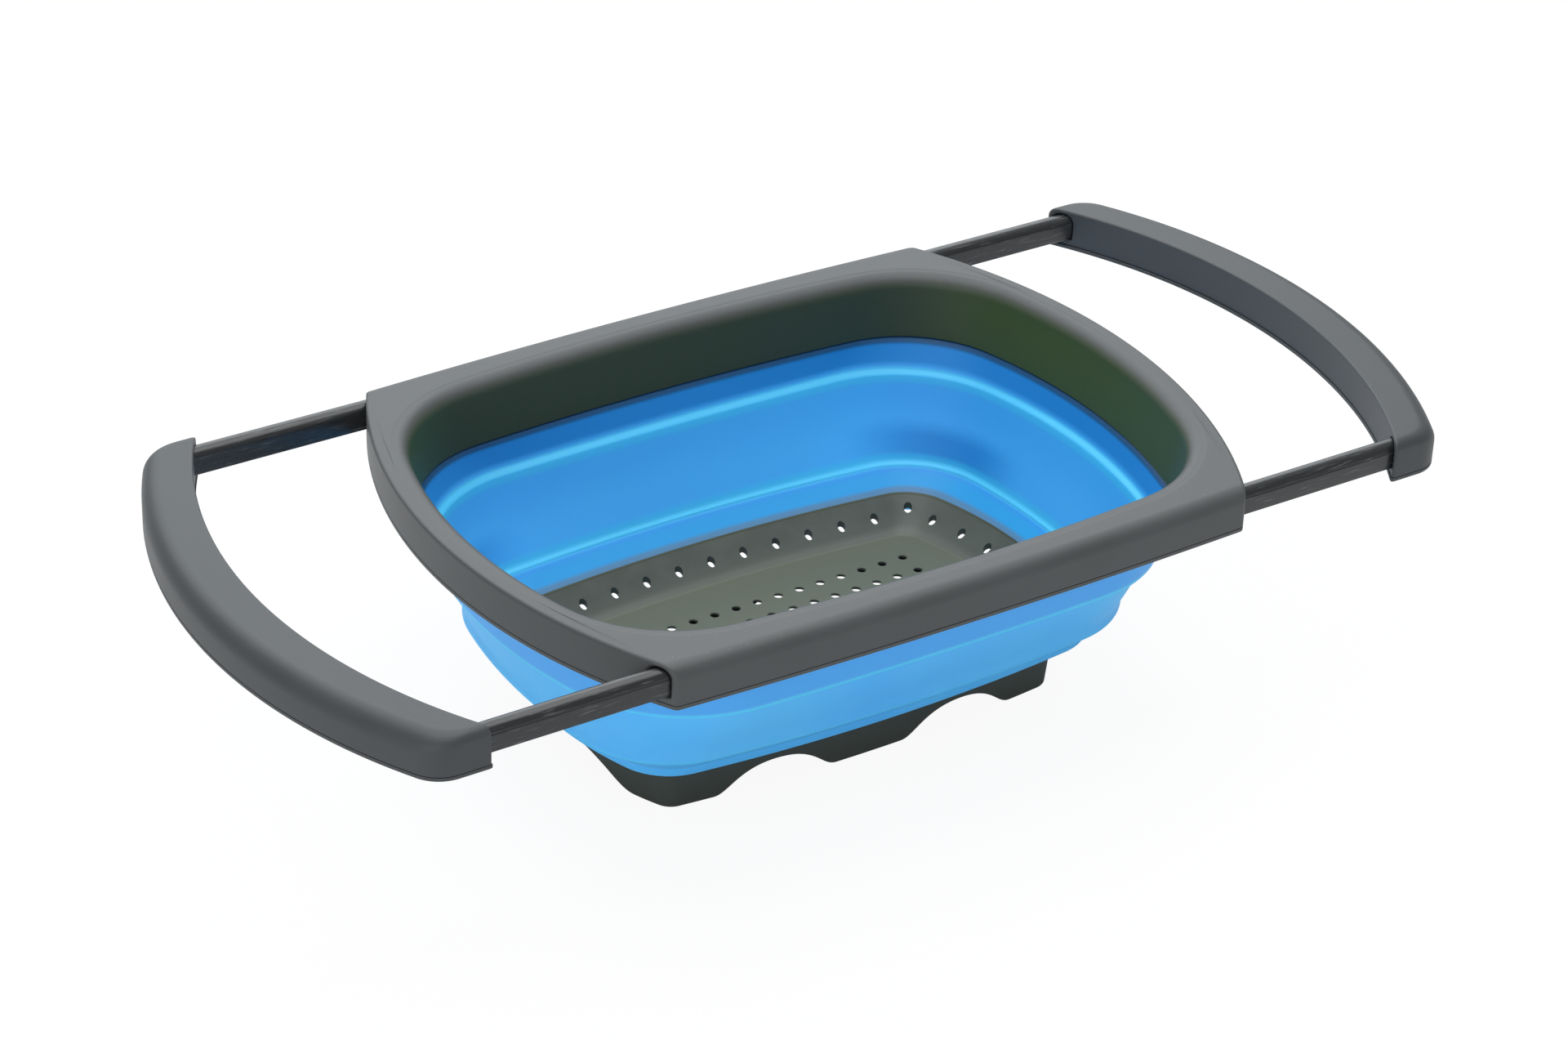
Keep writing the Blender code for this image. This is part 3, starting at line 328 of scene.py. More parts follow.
def carve(piece: Piece, cutters: list[Piece]) -> Piece:
    """Cut shapes out of a piece.

    Args:
        piece: Closed mesh object.
        cutters: Closed objects to take away, which are then removed.

    Returns:
        The same piece, as a plain mesh.
    """
    for cutter in cutters:
        cutter.hide_render = True
        modifier = piece.modifiers.new(cutter.name, "BOOLEAN")
        modifier.operation = "DIFFERENCE"
        modifier.solver = "EXACT"
        modifier.object = cutter
    settle(piece)
    for cutter in cutters:
        bpy.data.objects.remove(cutter)
    return piece


def turned_peg(name: str, place: Pair, profile: Places, facets: int) -> Piece:
    """Upright turned shape.

    Args:
        name: Name of the new object.
        place: Its axis in plan.
        profile: Radii and heights from the bottom up.
        facets: Facets round it.

    Returns:
        The closed object.
    """
    rings = []
    for radius, height in profile:
        points = arc(Vector(place), radius, 0, 2 * math.pi, facets)[:-1]
        rings.append([Vector((p.x, p.y, height)) for p in points])
    return skin(name, rings, Clip.CAPPED)


# Node graphs


def operator(kind: str, swapped: bool = False) -> Callable[["Value", object], "Value"]:
    """Operator of a wrapped socket that adds a Math node.

    Args:
        kind: Operation of the node.
        swapped: Whether the other value comes first.

    Returns:
        The operator's method.
    """
    def apply(value: "Value", other: object) -> "Value":
        """Result of the node."""
        return value.graph.maths(kind, *((other, value) if swapped else (value, other)))
    return apply


class Value:
    """Socket that can be written in sums, products and comparisons."""

    __add__ = __radd__ = operator("ADD")
    __sub__ = operator("SUBTRACT")
    __rsub__ = operator("SUBTRACT", swapped=True)
    __mul__ = __rmul__ = operator("MULTIPLY")
    __truediv__ = operator("DIVIDE")
    __pow__ = operator("POWER")

    def __init__(self, graph: "NodeGraph", socket: Socket) -> None:
        """Wrap an output socket of a graph."""
        self.graph = graph
        self.socket = socket

    def __abs__(self) -> "Value":
        """Absolute value."""
        return self.graph.maths("ABSOLUTE", self)

    def over(self, low: float, high: float) -> "Value":
        """Smooth step from 0 at low to 1 at high.

        Args:
            low: Value that gives 0.
            high: Value that gives 1, which may be lower than low.

        Returns:
            The step.
        """
        node = self.graph.node("ShaderNodeMapRange", {"interpolation_type": "SMOOTHSTEP"},
                               {"Value": self, "From Min": low, "From Max": high})
        return Value(self.graph, node.outputs["Result"])

    def near(self, place: float, reach: float, core: float) -> "Value":
        """Mask that is 1 within a core distance of a place and 0 past a reach."""
        return abs(self - place).over(reach, core)


class NodeGraph:
    """Node tree with one way to add nodes."""

    def __init__(self, tree: bpy.types.NodeTree) -> None:
        """Take a tree and empty it."""
        self.tree = tree
        tree.nodes.clear()

    def node(self, kind: str, settings: dict[str, object] | None = None,
             sockets: dict[str | int, object] | None = None) -> bpy.types.Node:
        """Add a node.

        Args:
            kind: Type of the node.
            settings: Properties, set first.
            sockets: Values, sockets or wrapped values by input name or number.

        Returns:
            The new node.
        """
        made = self.tree.nodes.new(kind)
        for key, setting in (settings or {}).items():
            setattr(made, key, setting)
        for key, value in (sockets or {}).items():
            self.plug(made.inputs[key], value)
        return made

    def plug(self, socket: Socket, value: object) -> None:
        """Link or set an input.

        Args:
            socket: Input of a node.
            value: Socket or wrapped value to link, or the input's own value.
        """
        if isinstance(value, Value):
            value = value.socket
        if isinstance(value, Socket):
            self.tree.links.new(value, socket)
        else:
            socket.default_value = value

    def maths(self, operation: str, *values: object) -> Value:
        """Result of a Math node on up to three values."""
        node = self.node("ShaderNodeMath", {"operation": operation}, dict(enumerate(values)))
        return Value(self, node.outputs[0])

    def camera_ray(self) -> Value:
        """1 where the camera sees a surface straight, 0 in reflections and light."""
        return Value(self, self.node("ShaderNodeLightPath").outputs["Is Camera Ray"])

    def parts(self, vector: Socket) -> tuple[Value, Value, Value]:
        """X, Y and Z of a vector."""
        node = self.node("ShaderNodeSeparateXYZ", None, {0: vector})
        return tuple(Value(self, output) for output in node.outputs)


class FinishGraph(NodeGraph):
    """Material with one Principled shader."""

    def __init__(self, name: str, ior: float, subsurface: float = 0.0) -> None:
        """Make the material.

        Args:
            name: Name of the material.
            ior: Index of refraction.
            subsurface: Share of the light that scatters below the surface.
        """
        self.material = bpy.data.materials.new(name)
        self.material.use_nodes = True
        super().__init__(self.material.node_tree)
        self.shader = self.node("ShaderNodeBsdfPrincipled", None, {
            "IOR": ior, "Subsurface Weight": subsurface, "Subsurface Scale": 0.002,
            "Subsurface Radius": (0.4, 0.8, 1.0)})
        self.node("ShaderNodeOutputMaterial", None, {"Surface": self.shader.outputs["BSDF"]})
        self.place = self.node("ShaderNodeTexCoord").outputs["Object"]

    def stretched(self, scale: Triple) -> Socket:
        """Coordinates scaled along each axis."""
        node = self.node("ShaderNodeVectorMath", {"operation": "MULTIPLY"}, {0: self.place, 1: scale})
        return node.outputs["Vector"]

    def noise(self, scale: float, detail: float = 2.0, roughness: float = 0.5,
              vector: Socket | None = None) -> Value:
        """Noise from 0 to 1.

        Args:
            scale: Features per metre.
            detail: Octaves.
            roughness: Weight of the finer octaves.
            vector: Coordinates, the object's own if left out.

        Returns:
            The noise.
        """
        node = self.node("ShaderNodeTexNoise", None, {
            "Vector": vector or self.place, "Scale": scale, "Detail": detail, "Roughness": roughness})
        return Value(self, node.outputs["Fac"])

    def specks(self, scale: float, size: float) -> Value:
        """Mask of tiny round specks, one in each cell at most.

        Args:
            scale: Cells per metre.
            size: Radius of a speck in cells.

        Returns:
            1 on a speck, 0 elsewhere.
        """
        node = self.node("ShaderNodeTexVoronoi", {"feature": "F1"}, {"Vector": self.place, "Scale": scale})
        chance = self.parts(node.outputs["Color"])[0]
        return Value(self, node.outputs["Distance"]).over(size, size / 2) * chance.over(0.7, 0.8)

    def blend(self, factor: Value, first: object, second: object) -> Socket:
        """Mix two colours.

        Args:
            factor: 0 gives the first, 1 the second.
            first: Colour or socket.
            second: Colour or socket.

        Returns:
            The mixed colour.
        """
        colours = [(*c, 1.0) if isinstance(c, tuple) else c for c in (first, second)]
        node = self.node("ShaderNodeMix", {"data_type": "RGBA"}, {0: factor, 6: colours[0], 7: colours[1]})
        return node.outputs[2]

    def layered(self, colour: object, layers: list[tuple[Value, Colour]]) -> Socket:
        """Lay masked colours over a colour in turn.

        Args:
            colour: Ground colour or socket.
            layers: Masks with the colours that they show.

        Returns:
            The resulting colour.
        """
        for mask, shade in layers:
            colour = self.blend(mask, colour, shade)
        return colour

    def finish(self, colour: Socket, roughness: Value, heights: list[tuple[Value, float]]) -> Paint:
        """Feed the shader.

        Args:
            colour: Its base colour.
            roughness: Its roughness.
            heights: Layers of bump, each a height from 0 to 1 and its depth in metres.

        Returns:
            The finished material.
        """
        self.plug(self.shader.inputs["Base Color"], colour)
        self.plug(self.shader.inputs["Roughness"], roughness)
        normal = None
        for height, depth in heights:
            sockets = {"Strength": 1.0, "Distance": depth, "Height": height}
            if normal:
                sockets["Normal"] = normal
            normal = self.node("ShaderNodeBump", None, sockets).outputs["Normal"]
        self.plug(self.shader.inputs["Normal"], normal)
        return self.material


# Finishes


def tinted(colour: Colour, *factors: float) -> Colour:
    """Colour times one factor, or times one factor for each channel."""
    every = factors * 3 if len(factors) == 1 else factors
    return tuple(min(channel * factor, 1.0) for channel, factor in zip(colour, every))


@dataclass(frozen=True)
class MattePlastic:
    """Moulded plastic with a fine spark-eroded grain, faint clouding, a little dust and optional painted
    shade on the collar.
    """

    name: str
    colour: Colour
    roughness: float
    grain_depth: float
    dust: float = 0.0
    # Painted shade on the collar's inner wall, and a painted green reflection towards its ends.
    painted_collar_shade: Colour | None = None
    painted_collar_reflection: Colour = (0.040, 0.070, 0.010)
    dust_colour: Colour = (0.42, 0.43, 0.42)
    ior: float = 1.5

    def make(self) -> Paint:
        """Build the material.

        Returns:
            The material.
        """
        graph = FinishGraph(self.name, self.ior)
        grain = graph.noise(2600, detail=3, roughness=0.6)
        cloud = graph.noise(22, detail=4, roughness=0.55)
        colour = graph.blend(cloud.over(0.3, 0.7), tinted(self.colour, 0.95), tinted(self.colour, 1.06))
        # Painted shade and green reflection on the collar's inner wall.
        if self.painted_collar_shade:
            colour = self.paint_collar_shade(graph, colour)
        speckle = graph.noise(1300, roughness=0.7)
        colour = graph.blend(speckle.over(0.62, 0.8) * 0.35, colour, tinted(self.colour, 1.7))
        if self.dust:
            up = graph.parts(graph.node("ShaderNodeNewGeometry").outputs["Normal"])[2]
            patch = graph.noise(14, detail=3).over(0.5, 0.66)
            motes = graph.specks(520, 0.14) * up.over(0.75, 0.95) * patch
            colour = graph.blend(motes * self.dust, colour, self.dust_colour)
        return graph.finish(colour, self.roughness - 0.05 + 0.1 * cloud + 0.08 * grain, [
            (grain, self.grain_depth), (graph.noise(240), self.grain_depth)])

    def paint_collar_shade(self, graph: FinishGraph, colour: Socket) -> Socket:
        """Paint shade on the collar's inner wall from its rounded lip down, greener towards the ends as a
        painted reflection.

        Args:
            graph: Graph of the material.
            colour: Colour everywhere else.

        Returns:
            The colour with the painted shade.
        """
        rim, top = Plans().rim, Levels().rim_top
        x, y, z = graph.parts(graph.place)
        from_centre = ((abs(x) + (rim.end_radius - rim.half_length)) ** 2 + y * y) ** 0.5
        inner = from_centre.over(rim.end_radius - 0.0080, rim.end_radius - 0.0090)
        inner = inner * abs(y).over(rim.half_width - 0.0125, rim.half_width - 0.0135)
        # Towards the ends the painted shade turns greener, a painted reflection.
        ends = abs(x - 0.008).over(0.112, 0.150)
        return graph.blend(inner * z.over(top - 0.0005, top - 0.0067), colour,
                           graph.blend(ends, self.painted_collar_shade, self.painted_collar_reflection))


@dataclass(frozen=True)
class SatinPlastic:
    """Smoother plastic with drawn streaks, fine rubbing marks and, given a floor level, painted light and
    shade by height.
    """

    name: str
    colour: Colour
    roughness: float
    streaks: Triple
    streak_depth: float
    rubbed: float = 0.0
    floor_level: float | None = None
    rubbed_colour: Colour = (0.16, 0.165, 0.17)
    grain_depth: float = 0.00001
    ior: float = 1.5

    def make(self) -> Paint:
        """Build the material.

        Returns:
            The material.
        """
        graph = FinishGraph(self.name, self.ior)
        drawn = graph.noise(1.0, detail=3, roughness=0.6, vector=graph.stretched(self.streaks))
        cloud = graph.noise(30, detail=3)
        colour = graph.blend(drawn.over(0.35, 0.7) * 0.6 + cloud * 0.4, tinted(self.colour, 0.85),
                             tinted(self.colour, 1.25))
        colour = graph.blend(drawn.over(0.60, 0.70) * self.rubbed, colour, self.rubbed_colour)
        # Painted light on the tray's floor and wall foot, painted shade below the floor.
        if self.floor_level:
            colour = self.paint_light_by_level(graph, colour)
        return graph.finish(colour, self.roughness + 0.16 * (drawn - 0.5) + 0.06 * cloud, [
            (drawn, self.streak_depth), (graph.noise(2200), self.grain_depth)])

    def paint_light_by_level(self, graph: FinishGraph, colour: Socket) -> Socket:
        """Paint light on the foot of the wall and more on the flat floor, and paint shade on all below the
        floor.

        Args:
            graph: Graph of the material.
            colour: Colour everywhere else.

        Returns:
            The colour by level.
        """
        floor, level = self.floor_level, graph.parts(graph.place)[2]
        # Painted light rising to the flat floor, painted shade below it.
        return graph.layered(colour, [
            (level.over(floor + 0.0085, floor + 0.0010), tinted(self.colour, 1.28, 1.26, 1.24)),
            (level.near(floor, 0.0004, 0.0001), tinted(self.colour, 1.68, 1.60, 1.32)),
            (level.over(floor - 0.0012, floor - 0.0030), tinted(self.colour, 0.82))])


@dataclass(frozen=True)
class Silicone:
    """Translucent blue silicone: milky outside, dull where it thins onto the tray, painted shade and fold
    glow.
    """

    name: str
    levels: Levels
    # shaded is painted shade; fold and glow are painted highlight and glow where light passes the thin
    # folds; the outer line colour is a painted highlight.
    inside: Colour = (0.075, 0.470, 0.950)
    upper_band: Colour = (0.014, 0.245, 0.660)
    shaded: Colour = (0.022, 0.300, 0.760)
    fold: Colour = (0.070, 0.560, 0.880)
    glow: Colour = (0.050, 0.600, 0.880)
    outside: Colour = (0.086, 0.495, 1.000)
    outer_line_highlight: Colour = (0.085, 0.640, 1.000)
    feather: Colour = (0.085, 0.200, 0.330)
    seam: Colour = (0.050, 0.060, 0.030)
    ior: float = 1.42
    subsurface: float = 0.15

    def make(self) -> Paint:
        """Build the material on the rest shape's own coordinates, which keep to the folds.

        Returns:
            The material.
        """
        graph = FinishGraph(self.name, self.ior, self.subsurface)
        rest = graph.node("ShaderNodeAttribute", {"attribute_name": "rest_place"}).outputs["Vector"]
        outer = graph.node("ShaderNodeAttribute", {"attribute_name": "outside"}).outputs["Fac"]
        x, y, z = graph.parts(rest)
        cloud = graph.noise(18, detail=3, vector=rest)
        tooth = graph.noise(900, detail=3, roughness=0.6, vector=rest)
        colour = graph.blend(outer, self.inner_colour(graph, x, y, z, cloud),
                             self.outer_colour(graph, z, cloud))
        return graph.finish(colour, 0.44 + 0.10 * cloud + 0.05 * tooth, [
            (tooth, 0.00002), (graph.noise(120, vector=rest), 0.00005)])

    def inner_colour(self, graph: FinishGraph, x: Value, y: Value, z: Value, cloud: Value) -> Socket:
        """Colour of the inner face, with painted shade and painted glow and highlights at the folds.

        Args:
            graph: Graph of the material.
            x: Distance along X at rest.
            y: Distance along Y at rest.
            z: Level at rest.
            cloud: Soft noise.

        Returns:
            The colour.
        """
        edge, low, high, collar = (self.levels.edge, self.levels.lower_fold, self.levels.upper_fold,
                                   self.levels.collar)
        middle = (low + high) / 2
        # Painted shade over the upper main wall, with random tone, and in the four corners.
        rise = z.over(middle - 0.009, high - 0.004) * 0.30 + 0.16 * (cloud - 0.5)
        corner = abs(x).over(0.078, 0.130) * abs(y).over(0.020, 0.056)
        # Painted glow and highlights along both folds, standing in for light through the thin silicone.
        glow = graph.maths("MAXIMUM", z.near(high - 0.0022, 0.0034, 0.0010),
                           z.near(low + 0.0020, 0.0030, 0.0006))
        ridge = graph.maths("MAXIMUM", z.near(high, 0.0019, 0.0004) * 0.85,
                            z.near(low + 0.0003, 0.0019, 0.0007))
        # Layers: painted shade on the main wall, more towards the right end and in the corners; a darker
        # band above the upper fold; a darker tint below the lower fold; painted glow and highlights at the
        # folds; painted shade in the crease under the lower fold; painted shadow under the collar's edge;
        # the dull edge over the tray and its seam.
        return graph.layered(self.inside, [
            (rise + x.over(0.095, 0.135) * 0.20, self.shaded),
            (corner * z.near(middle - 0.0120, 0.0130, 0.0030), tinted(self.shaded, 0.88)),
            (z.over(high + 0.0010, high + 0.0042), self.upper_band),
            (z.over(low - 0.0006, low - 0.0022), tinted(self.inside, 0.10, 0.68, 0.74)),
            (glow * 0.45, self.glow),
            (ridge * 0.95, self.fold),
            (z.near(low - 0.0021, 0.0009, 0.0002) * 0.6, self.shaded),
            (z.over(collar - 0.0038, collar - 0.0018) * 0.9, tinted(self.upper_band, 0.22)),
            (z.over(edge + 0.0030, edge + 0.0014) * 0.85, self.feather),
            (z.over(edge + 0.0008, edge + 0.0004), self.seam)])

    def outer_colour(self, graph: FinishGraph, z: Value, cloud: Value) -> Socket:
        """Colour of the outer face, with painted highlight lines at the notch and the lower fold.

        Args:
            graph: Graph of the material.
            z: Level at rest.
            cloud: Soft noise.

        Returns:
            The colour.
        """
        notch = self.levels.notch
        paler = tuple(min(c * 1.12 + 0.03, 1.0) for c in self.outside)
        # Painted highlight lines along the notch's lip and the lower fold.
        line = graph.maths("MAXIMUM", z.near(notch + 0.0016, 0.0014, 0.0005),
                           z.near(self.levels.lower_fold, 0.0012, 0.0004) * 0.8)
        # Layers: random milky tone, painted shade on the band above the notch under the rim, painted
        # highlight lines.
        return graph.layered(self.outside, [
            (cloud.over(0.3, 0.7) * 0.5, paler),
            (z.over(notch + 0.0022, notch + 0.0040), tinted(self.outside, 0.85, 0.84, 0.95)),
            (line * 0.75, self.outer_line_highlight)])


@dataclass(frozen=True)
class ScrewSteel:
    """Plain zinc-plated steel with turning marks."""

    name: str
    colour: Colour = (0.52, 0.52, 0.53)
    tarnished: Colour = (0.30, 0.29, 0.27)
    marks: Triple = (900.0, 900.0, 9000.0)
    ior: float = 1.48

    def make(self) -> Paint:
        """Build the material.

        Returns:
            The material.
        """
        graph = FinishGraph(self.name, self.ior)
        graph.plug(graph.shader.inputs["Metallic"], 1.0)
        marks = graph.noise(1.0, vector=graph.stretched(self.marks))
        tarnish = graph.noise(260, detail=3)
        colour = graph.blend(tarnish.over(0.4, 0.75) * 0.5, self.colour, self.tarnished)
        return graph.finish(colour, 0.26 + 0.18 * tarnish, [(marks, 0.00001)])


# Shapes that repeat


class ShapeGraph(NodeGraph):
    """Geometry Nodes tree whose named inputs are the sizes of a dataclass."""

    def __init__(self, name: str, sizes: object) -> None:
        """Make the tree.

        Args:
            name: Name of the tree.
            sizes: Dataclass of whole numbers and lengths.
        """
        super().__init__(bpy.data.node_groups.new(name, "GeometryNodeTree"))
        self.sizes = vars(sizes)
        face = self.tree.interface
        face.new_socket("Geometry", in_out="INPUT", socket_type="NodeSocketGeometry")
        kinds = {int: "NodeSocketInt", float: "NodeSocketFloat"}
        self.keys = {key: face.new_socket(key, in_out="INPUT", socket_type=kinds[type(size)]).identifier
                     for key, size in self.sizes.items()}
        face.new_socket("Geometry", in_out="OUTPUT", socket_type="NodeSocketGeometry")
        self.input = self.node("NodeGroupInput")

    def given(self) -> list[Value]:
        """Every size as a value, in the order of the fields."""
        return [Value(self, self.input.outputs[key]) for key in self.sizes]

    def vector(self, x: object, y: object, z: object) -> Socket:
        """Vector of three values."""
        return self.node("ShaderNodeCombineXYZ", None, {0: x, 1: y, 2: z}).outputs[0]

    def lifted(self, kind: str, height: Value, sockets: dict[str, object]) -> Socket:
        """Primitive shape lifted to a height.

        Args:
            kind: Type of the shape's node.
            height: Level of its middle.
            sockets: Sizes of the shape.

        Returns:
            The shape.
        """
        shape = self.node(kind, None, sockets).outputs["Mesh"]
        return self.node("GeometryNodeTransform", None, {
            "Geometry": shape, "Translation": self.vector(0.0, 0.0, height)}).outputs[0]

    def joined(self, *pieces: Socket) -> Socket:
        """Join geometries.

        Args:
            *pieces: Geometries in order.

        Returns:
            All of them as one.
        """
        node = self.node("GeometryNodeJoinGeometry")
        for piece in pieces:
            self.tree.links.new(piece, node.inputs[0])
        return node.outputs[0]

    def copies(self, points: Socket, shape: Socket) -> Socket:
        """Put a shape on every point and realize it."""
        node = self.node("GeometryNodeInstanceOnPoints", None, {"Points": points, "Instance": shape})
        return self.node("GeometryNodeRealizeInstances", None, {0: node.outputs[0]}).outputs[0]

    def without(self, body: Socket, cutters: Socket) -> Socket:
        """Take cutters away from a body.

        Args:
            body: Geometry that stays.
            cutters: Geometry to cut it with.

        Returns:
            What is left of the body.
        """
        node = self.node("GeometryNodeMeshBoolean", {"operation": "DIFFERENCE", "solver": "EXACT"},
                         {"Mesh 1": body, "Mesh 2": cutters})
        return node.outputs["Mesh"]

    def close(self, shape: Socket, material: Paint) -> None:
        """End the tree in real geometry of one material.

        Args:
            shape: Geometry that comes out.
            material: Its material.
        """
        real = self.node("GeometryNodeRealizeInstances", None, {0: shape})
        dyed = self.node("GeometryNodeSetMaterial", None, {"Geometry": real.outputs[0],
                                                           "Material": material})
        self.node("NodeGroupOutput", None, {0: dyed.outputs[0]})

    def run(self, piece: Piece) -> Piece:
        """Apply the tree and its sizes to a piece.

        Args:
            piece: Object whose mesh goes in.

        Returns:
            The piece as a plain mesh.
        """
        modifier = piece.modifiers.new(self.tree.name, "NODES")
        modifier.node_group = self.tree
        for key, size in self.sizes.items():
            modifier[self.keys[key]] = size
        return settle(piece)


@dataclass(frozen=True)
class DrainHoles:
    """Grid of holes in the tray's floor, relieved from below, and a single row round its sloping wall."""

    radius: float = 0.00195
    pitch_x: float = 0.01113
    pitch_y: float = 0.0124
    columns: int = 16
    rows: int = 7
    wall_pitch_x: float = 0.0170
    wall_pitch_y: float = 0.0164
    wall_per_side: int = 13
    wall_per_end: int = 7
    floor_level: float = 0.0199
    cut_low: float = 0.0170
    cut_high: float = 0.0325
    countersink: float = 0.0003
    relief: float = 0.0020
    relief_drop: float = 0.0009
    relief_inset: float = 0.0001
    facets: int = 28

    def tree(self, ring: BarrelPlan, material: Paint) -> ShapeGraph:
        """Build the tree that punches the holes.

        Args:
            ring: Outline that the wall's holes stand on.
            material: Material of the punched piece.

        Returns:
            The tree.
        """
        graph = ShapeGraph("drain_holes", self)
        (radius, pitch_x, pitch_y, columns, rows, wall_pitch_x, wall_pitch_y, per_side, per_end, floor,
         low, high, sink, relief, drop, inset, facets) = graph.given()
        grid = graph.node("GeometryNodeMeshGrid", None, {
            "Size X": (columns - 1) * pitch_x, "Size Y": (rows - 1) * pitch_y,
            "Vertices X": columns, "Vertices Y": rows}).outputs["Mesh"]
        x, y, _ = graph.parts(graph.node("GeometryNodeInputPosition").outputs[0])
        side_y = ((ring.side_radius ** 2 - x * x) ** 0.5) + (ring.half_width - ring.side_radius)
        end_x = ((ring.end_radius ** 2 - y * y) ** 0.5) + (ring.half_length - ring.end_radius)
        places = [grid]
        for sign in (1, -1):
            places += [self.bent_row(graph, per_side, (wall_pitch_x, 0.0), (x, side_y * sign)),
                       self.bent_row(graph, per_end, (0.0, wall_pitch_y), (end_x * sign, y))]
        drill = graph.lifted("GeometryNodeMeshCylinder", (low + high) * 0.5, {
            "Vertices": facets, "Radius": radius, "Depth": high - low})
        cone = graph.lifted("GeometryNodeMeshCone", floor - sink, {
            "Vertices": facets, "Radius Top": radius + sink * 2, "Radius Bottom": radius,
            "Depth": sink * 2})
        bell = graph.lifted("GeometryNodeMeshCone", floor - relief - drop, {
            "Vertices": facets, "Radius Top": radius - inset, "Radius Bottom": radius + relief,
            "Depth": relief})
        punched = graph.input.outputs["Geometry"]
        for points, cutter in ((graph.joined(*places), drill), (grid, cone), (grid, bell)):
            punched = graph.without(punched, graph.copies(points, cutter))
        graph.close(punched, material)
        return graph

    def bent_row(self, graph: ShapeGraph, count: Value, pitch: tuple[object, object],
                 place: tuple[Value, Value]) -> Socket:
        """Row of points moved onto a bowed line.

        Args:
            graph: Tree that the nodes go into.
            count: Points in the row.
            pitch: Step between points along X and Y.
            place: X and Y that each point moves to.

        Returns:
            The points.
        """
        start = [(count - 1) * step * -0.5 for step in pitch]
        line = graph.node("GeometryNodeMeshLine", {"mode": "OFFSET"}, {
            "Count": count, "Start Location": graph.vector(*start, 0.0),
            "Offset": graph.vector(*pitch, 0.0)})
        return graph.node("GeometryNodeSetPosition", None, {
            "Geometry": line.outputs["Mesh"], "Position": graph.vector(*place, 0.0)}).outputs[0]


@dataclass(frozen=True)
class Screws:
    """Countersunk self-tapping screws, heads down, with a cross recess."""

    head_radius: float = 0.0022
    shank_radius: float = 0.0011
    head_depth: float = 0.0011
    length: float = 0.0090
    recess_width: float = 0.0007
    recess_length: float = 0.0026
    facets: int = 24

    def tree(self, material: Paint) -> ShapeGraph:
        """Build the tree that puts a screw on every point.

        Args:
            material: Material of the screws.

        Returns:
            The tree.
        """
        graph = ShapeGraph("countersunk_screws", self)
        head, shank, depth, length, wide, long, facets = graph.given()
        cone = graph.lifted("GeometryNodeMeshCone", depth / 2, {
            "Vertices": facets, "Radius Top": shank, "Radius Bottom": head, "Depth": depth})
        rod = graph.lifted("GeometryNodeMeshCylinder", (depth + length) / 2, {
            "Vertices": facets, "Radius": shank, "Depth": length - depth})
        for size in ((wide, long), (long, wide)):
            bar = graph.node("GeometryNodeMeshCube", None, {"Size": graph.vector(*size, depth)})
            cone = graph.without(cone, bar.outputs["Mesh"])
        points = graph.input.outputs["Geometry"]
        graph.close(graph.joined(graph.copies(points, cone), graph.copies(points, rod)), material)
        return graph

    def drive(self, name: str, places: Places, level: float, material: Paint) -> Piece:
        """Make one piece of many screws.

        Args:
            name: Name of the piece.
            places: Axes in plan.
            level: Height of the heads.
            material: Material of the screws.

        Returns:
            The piece.
        """
        mesh = bpy.data.meshes.new(name)
        mesh.from_pydata([(x, y, level) for x, y in places], [], [])
        return self.tree(material).run(shown(name, mesh))

    def seats(self, places: Places, bottom: float, recess: float, top: float) -> list[Piece]:
        """Cutters for the screws' seats in a plate.

        Args:
            places: Axes in plan.
            bottom: Underside of the plate.
            recess: Depth of the heads in it.
            top: Upper side of the plate.

        Returns:
            One cutter for each screw.
        """
        play, overshoot = 0.0002, 0.002
        head, shank = self.head_radius + play, self.shank_radius + play
        profile = [(head, bottom - overshoot), (head, bottom + recess),
                   (shank, bottom + recess + self.head_depth), (shank, top + overshoot)]
        return [turned_peg("seat_%d" % i, place, profile, self.facets) for i, place in enumerate(places)]


# Sub-assemblies


@dataclass(frozen=True)
class Finishes:
    """Materials of the colander."""

    rim: Paint
    ring: Paint
    grip: Paint
    plate: Paint
    rod: Paint
    tray: Paint
    silicone: Paint
    steel: Paint


def dress(piece: Piece, material: Paint, body: Body, nodes: list[str]) -> None:
    """Give a piece its material, its body and the nodes that it stands for.

    Args:
        piece: Finished object.
        material: Its material.
        body: Body that it rides on.
        nodes: Solids that it replaces.
    """
    piece.data.materials.clear()
    piece.data.materials.append(material)
    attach(piece, body.value)
    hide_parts(*nodes)
    log.info("%s: %d faces on %s", piece.name, len(piece.data.polygons), body.value)


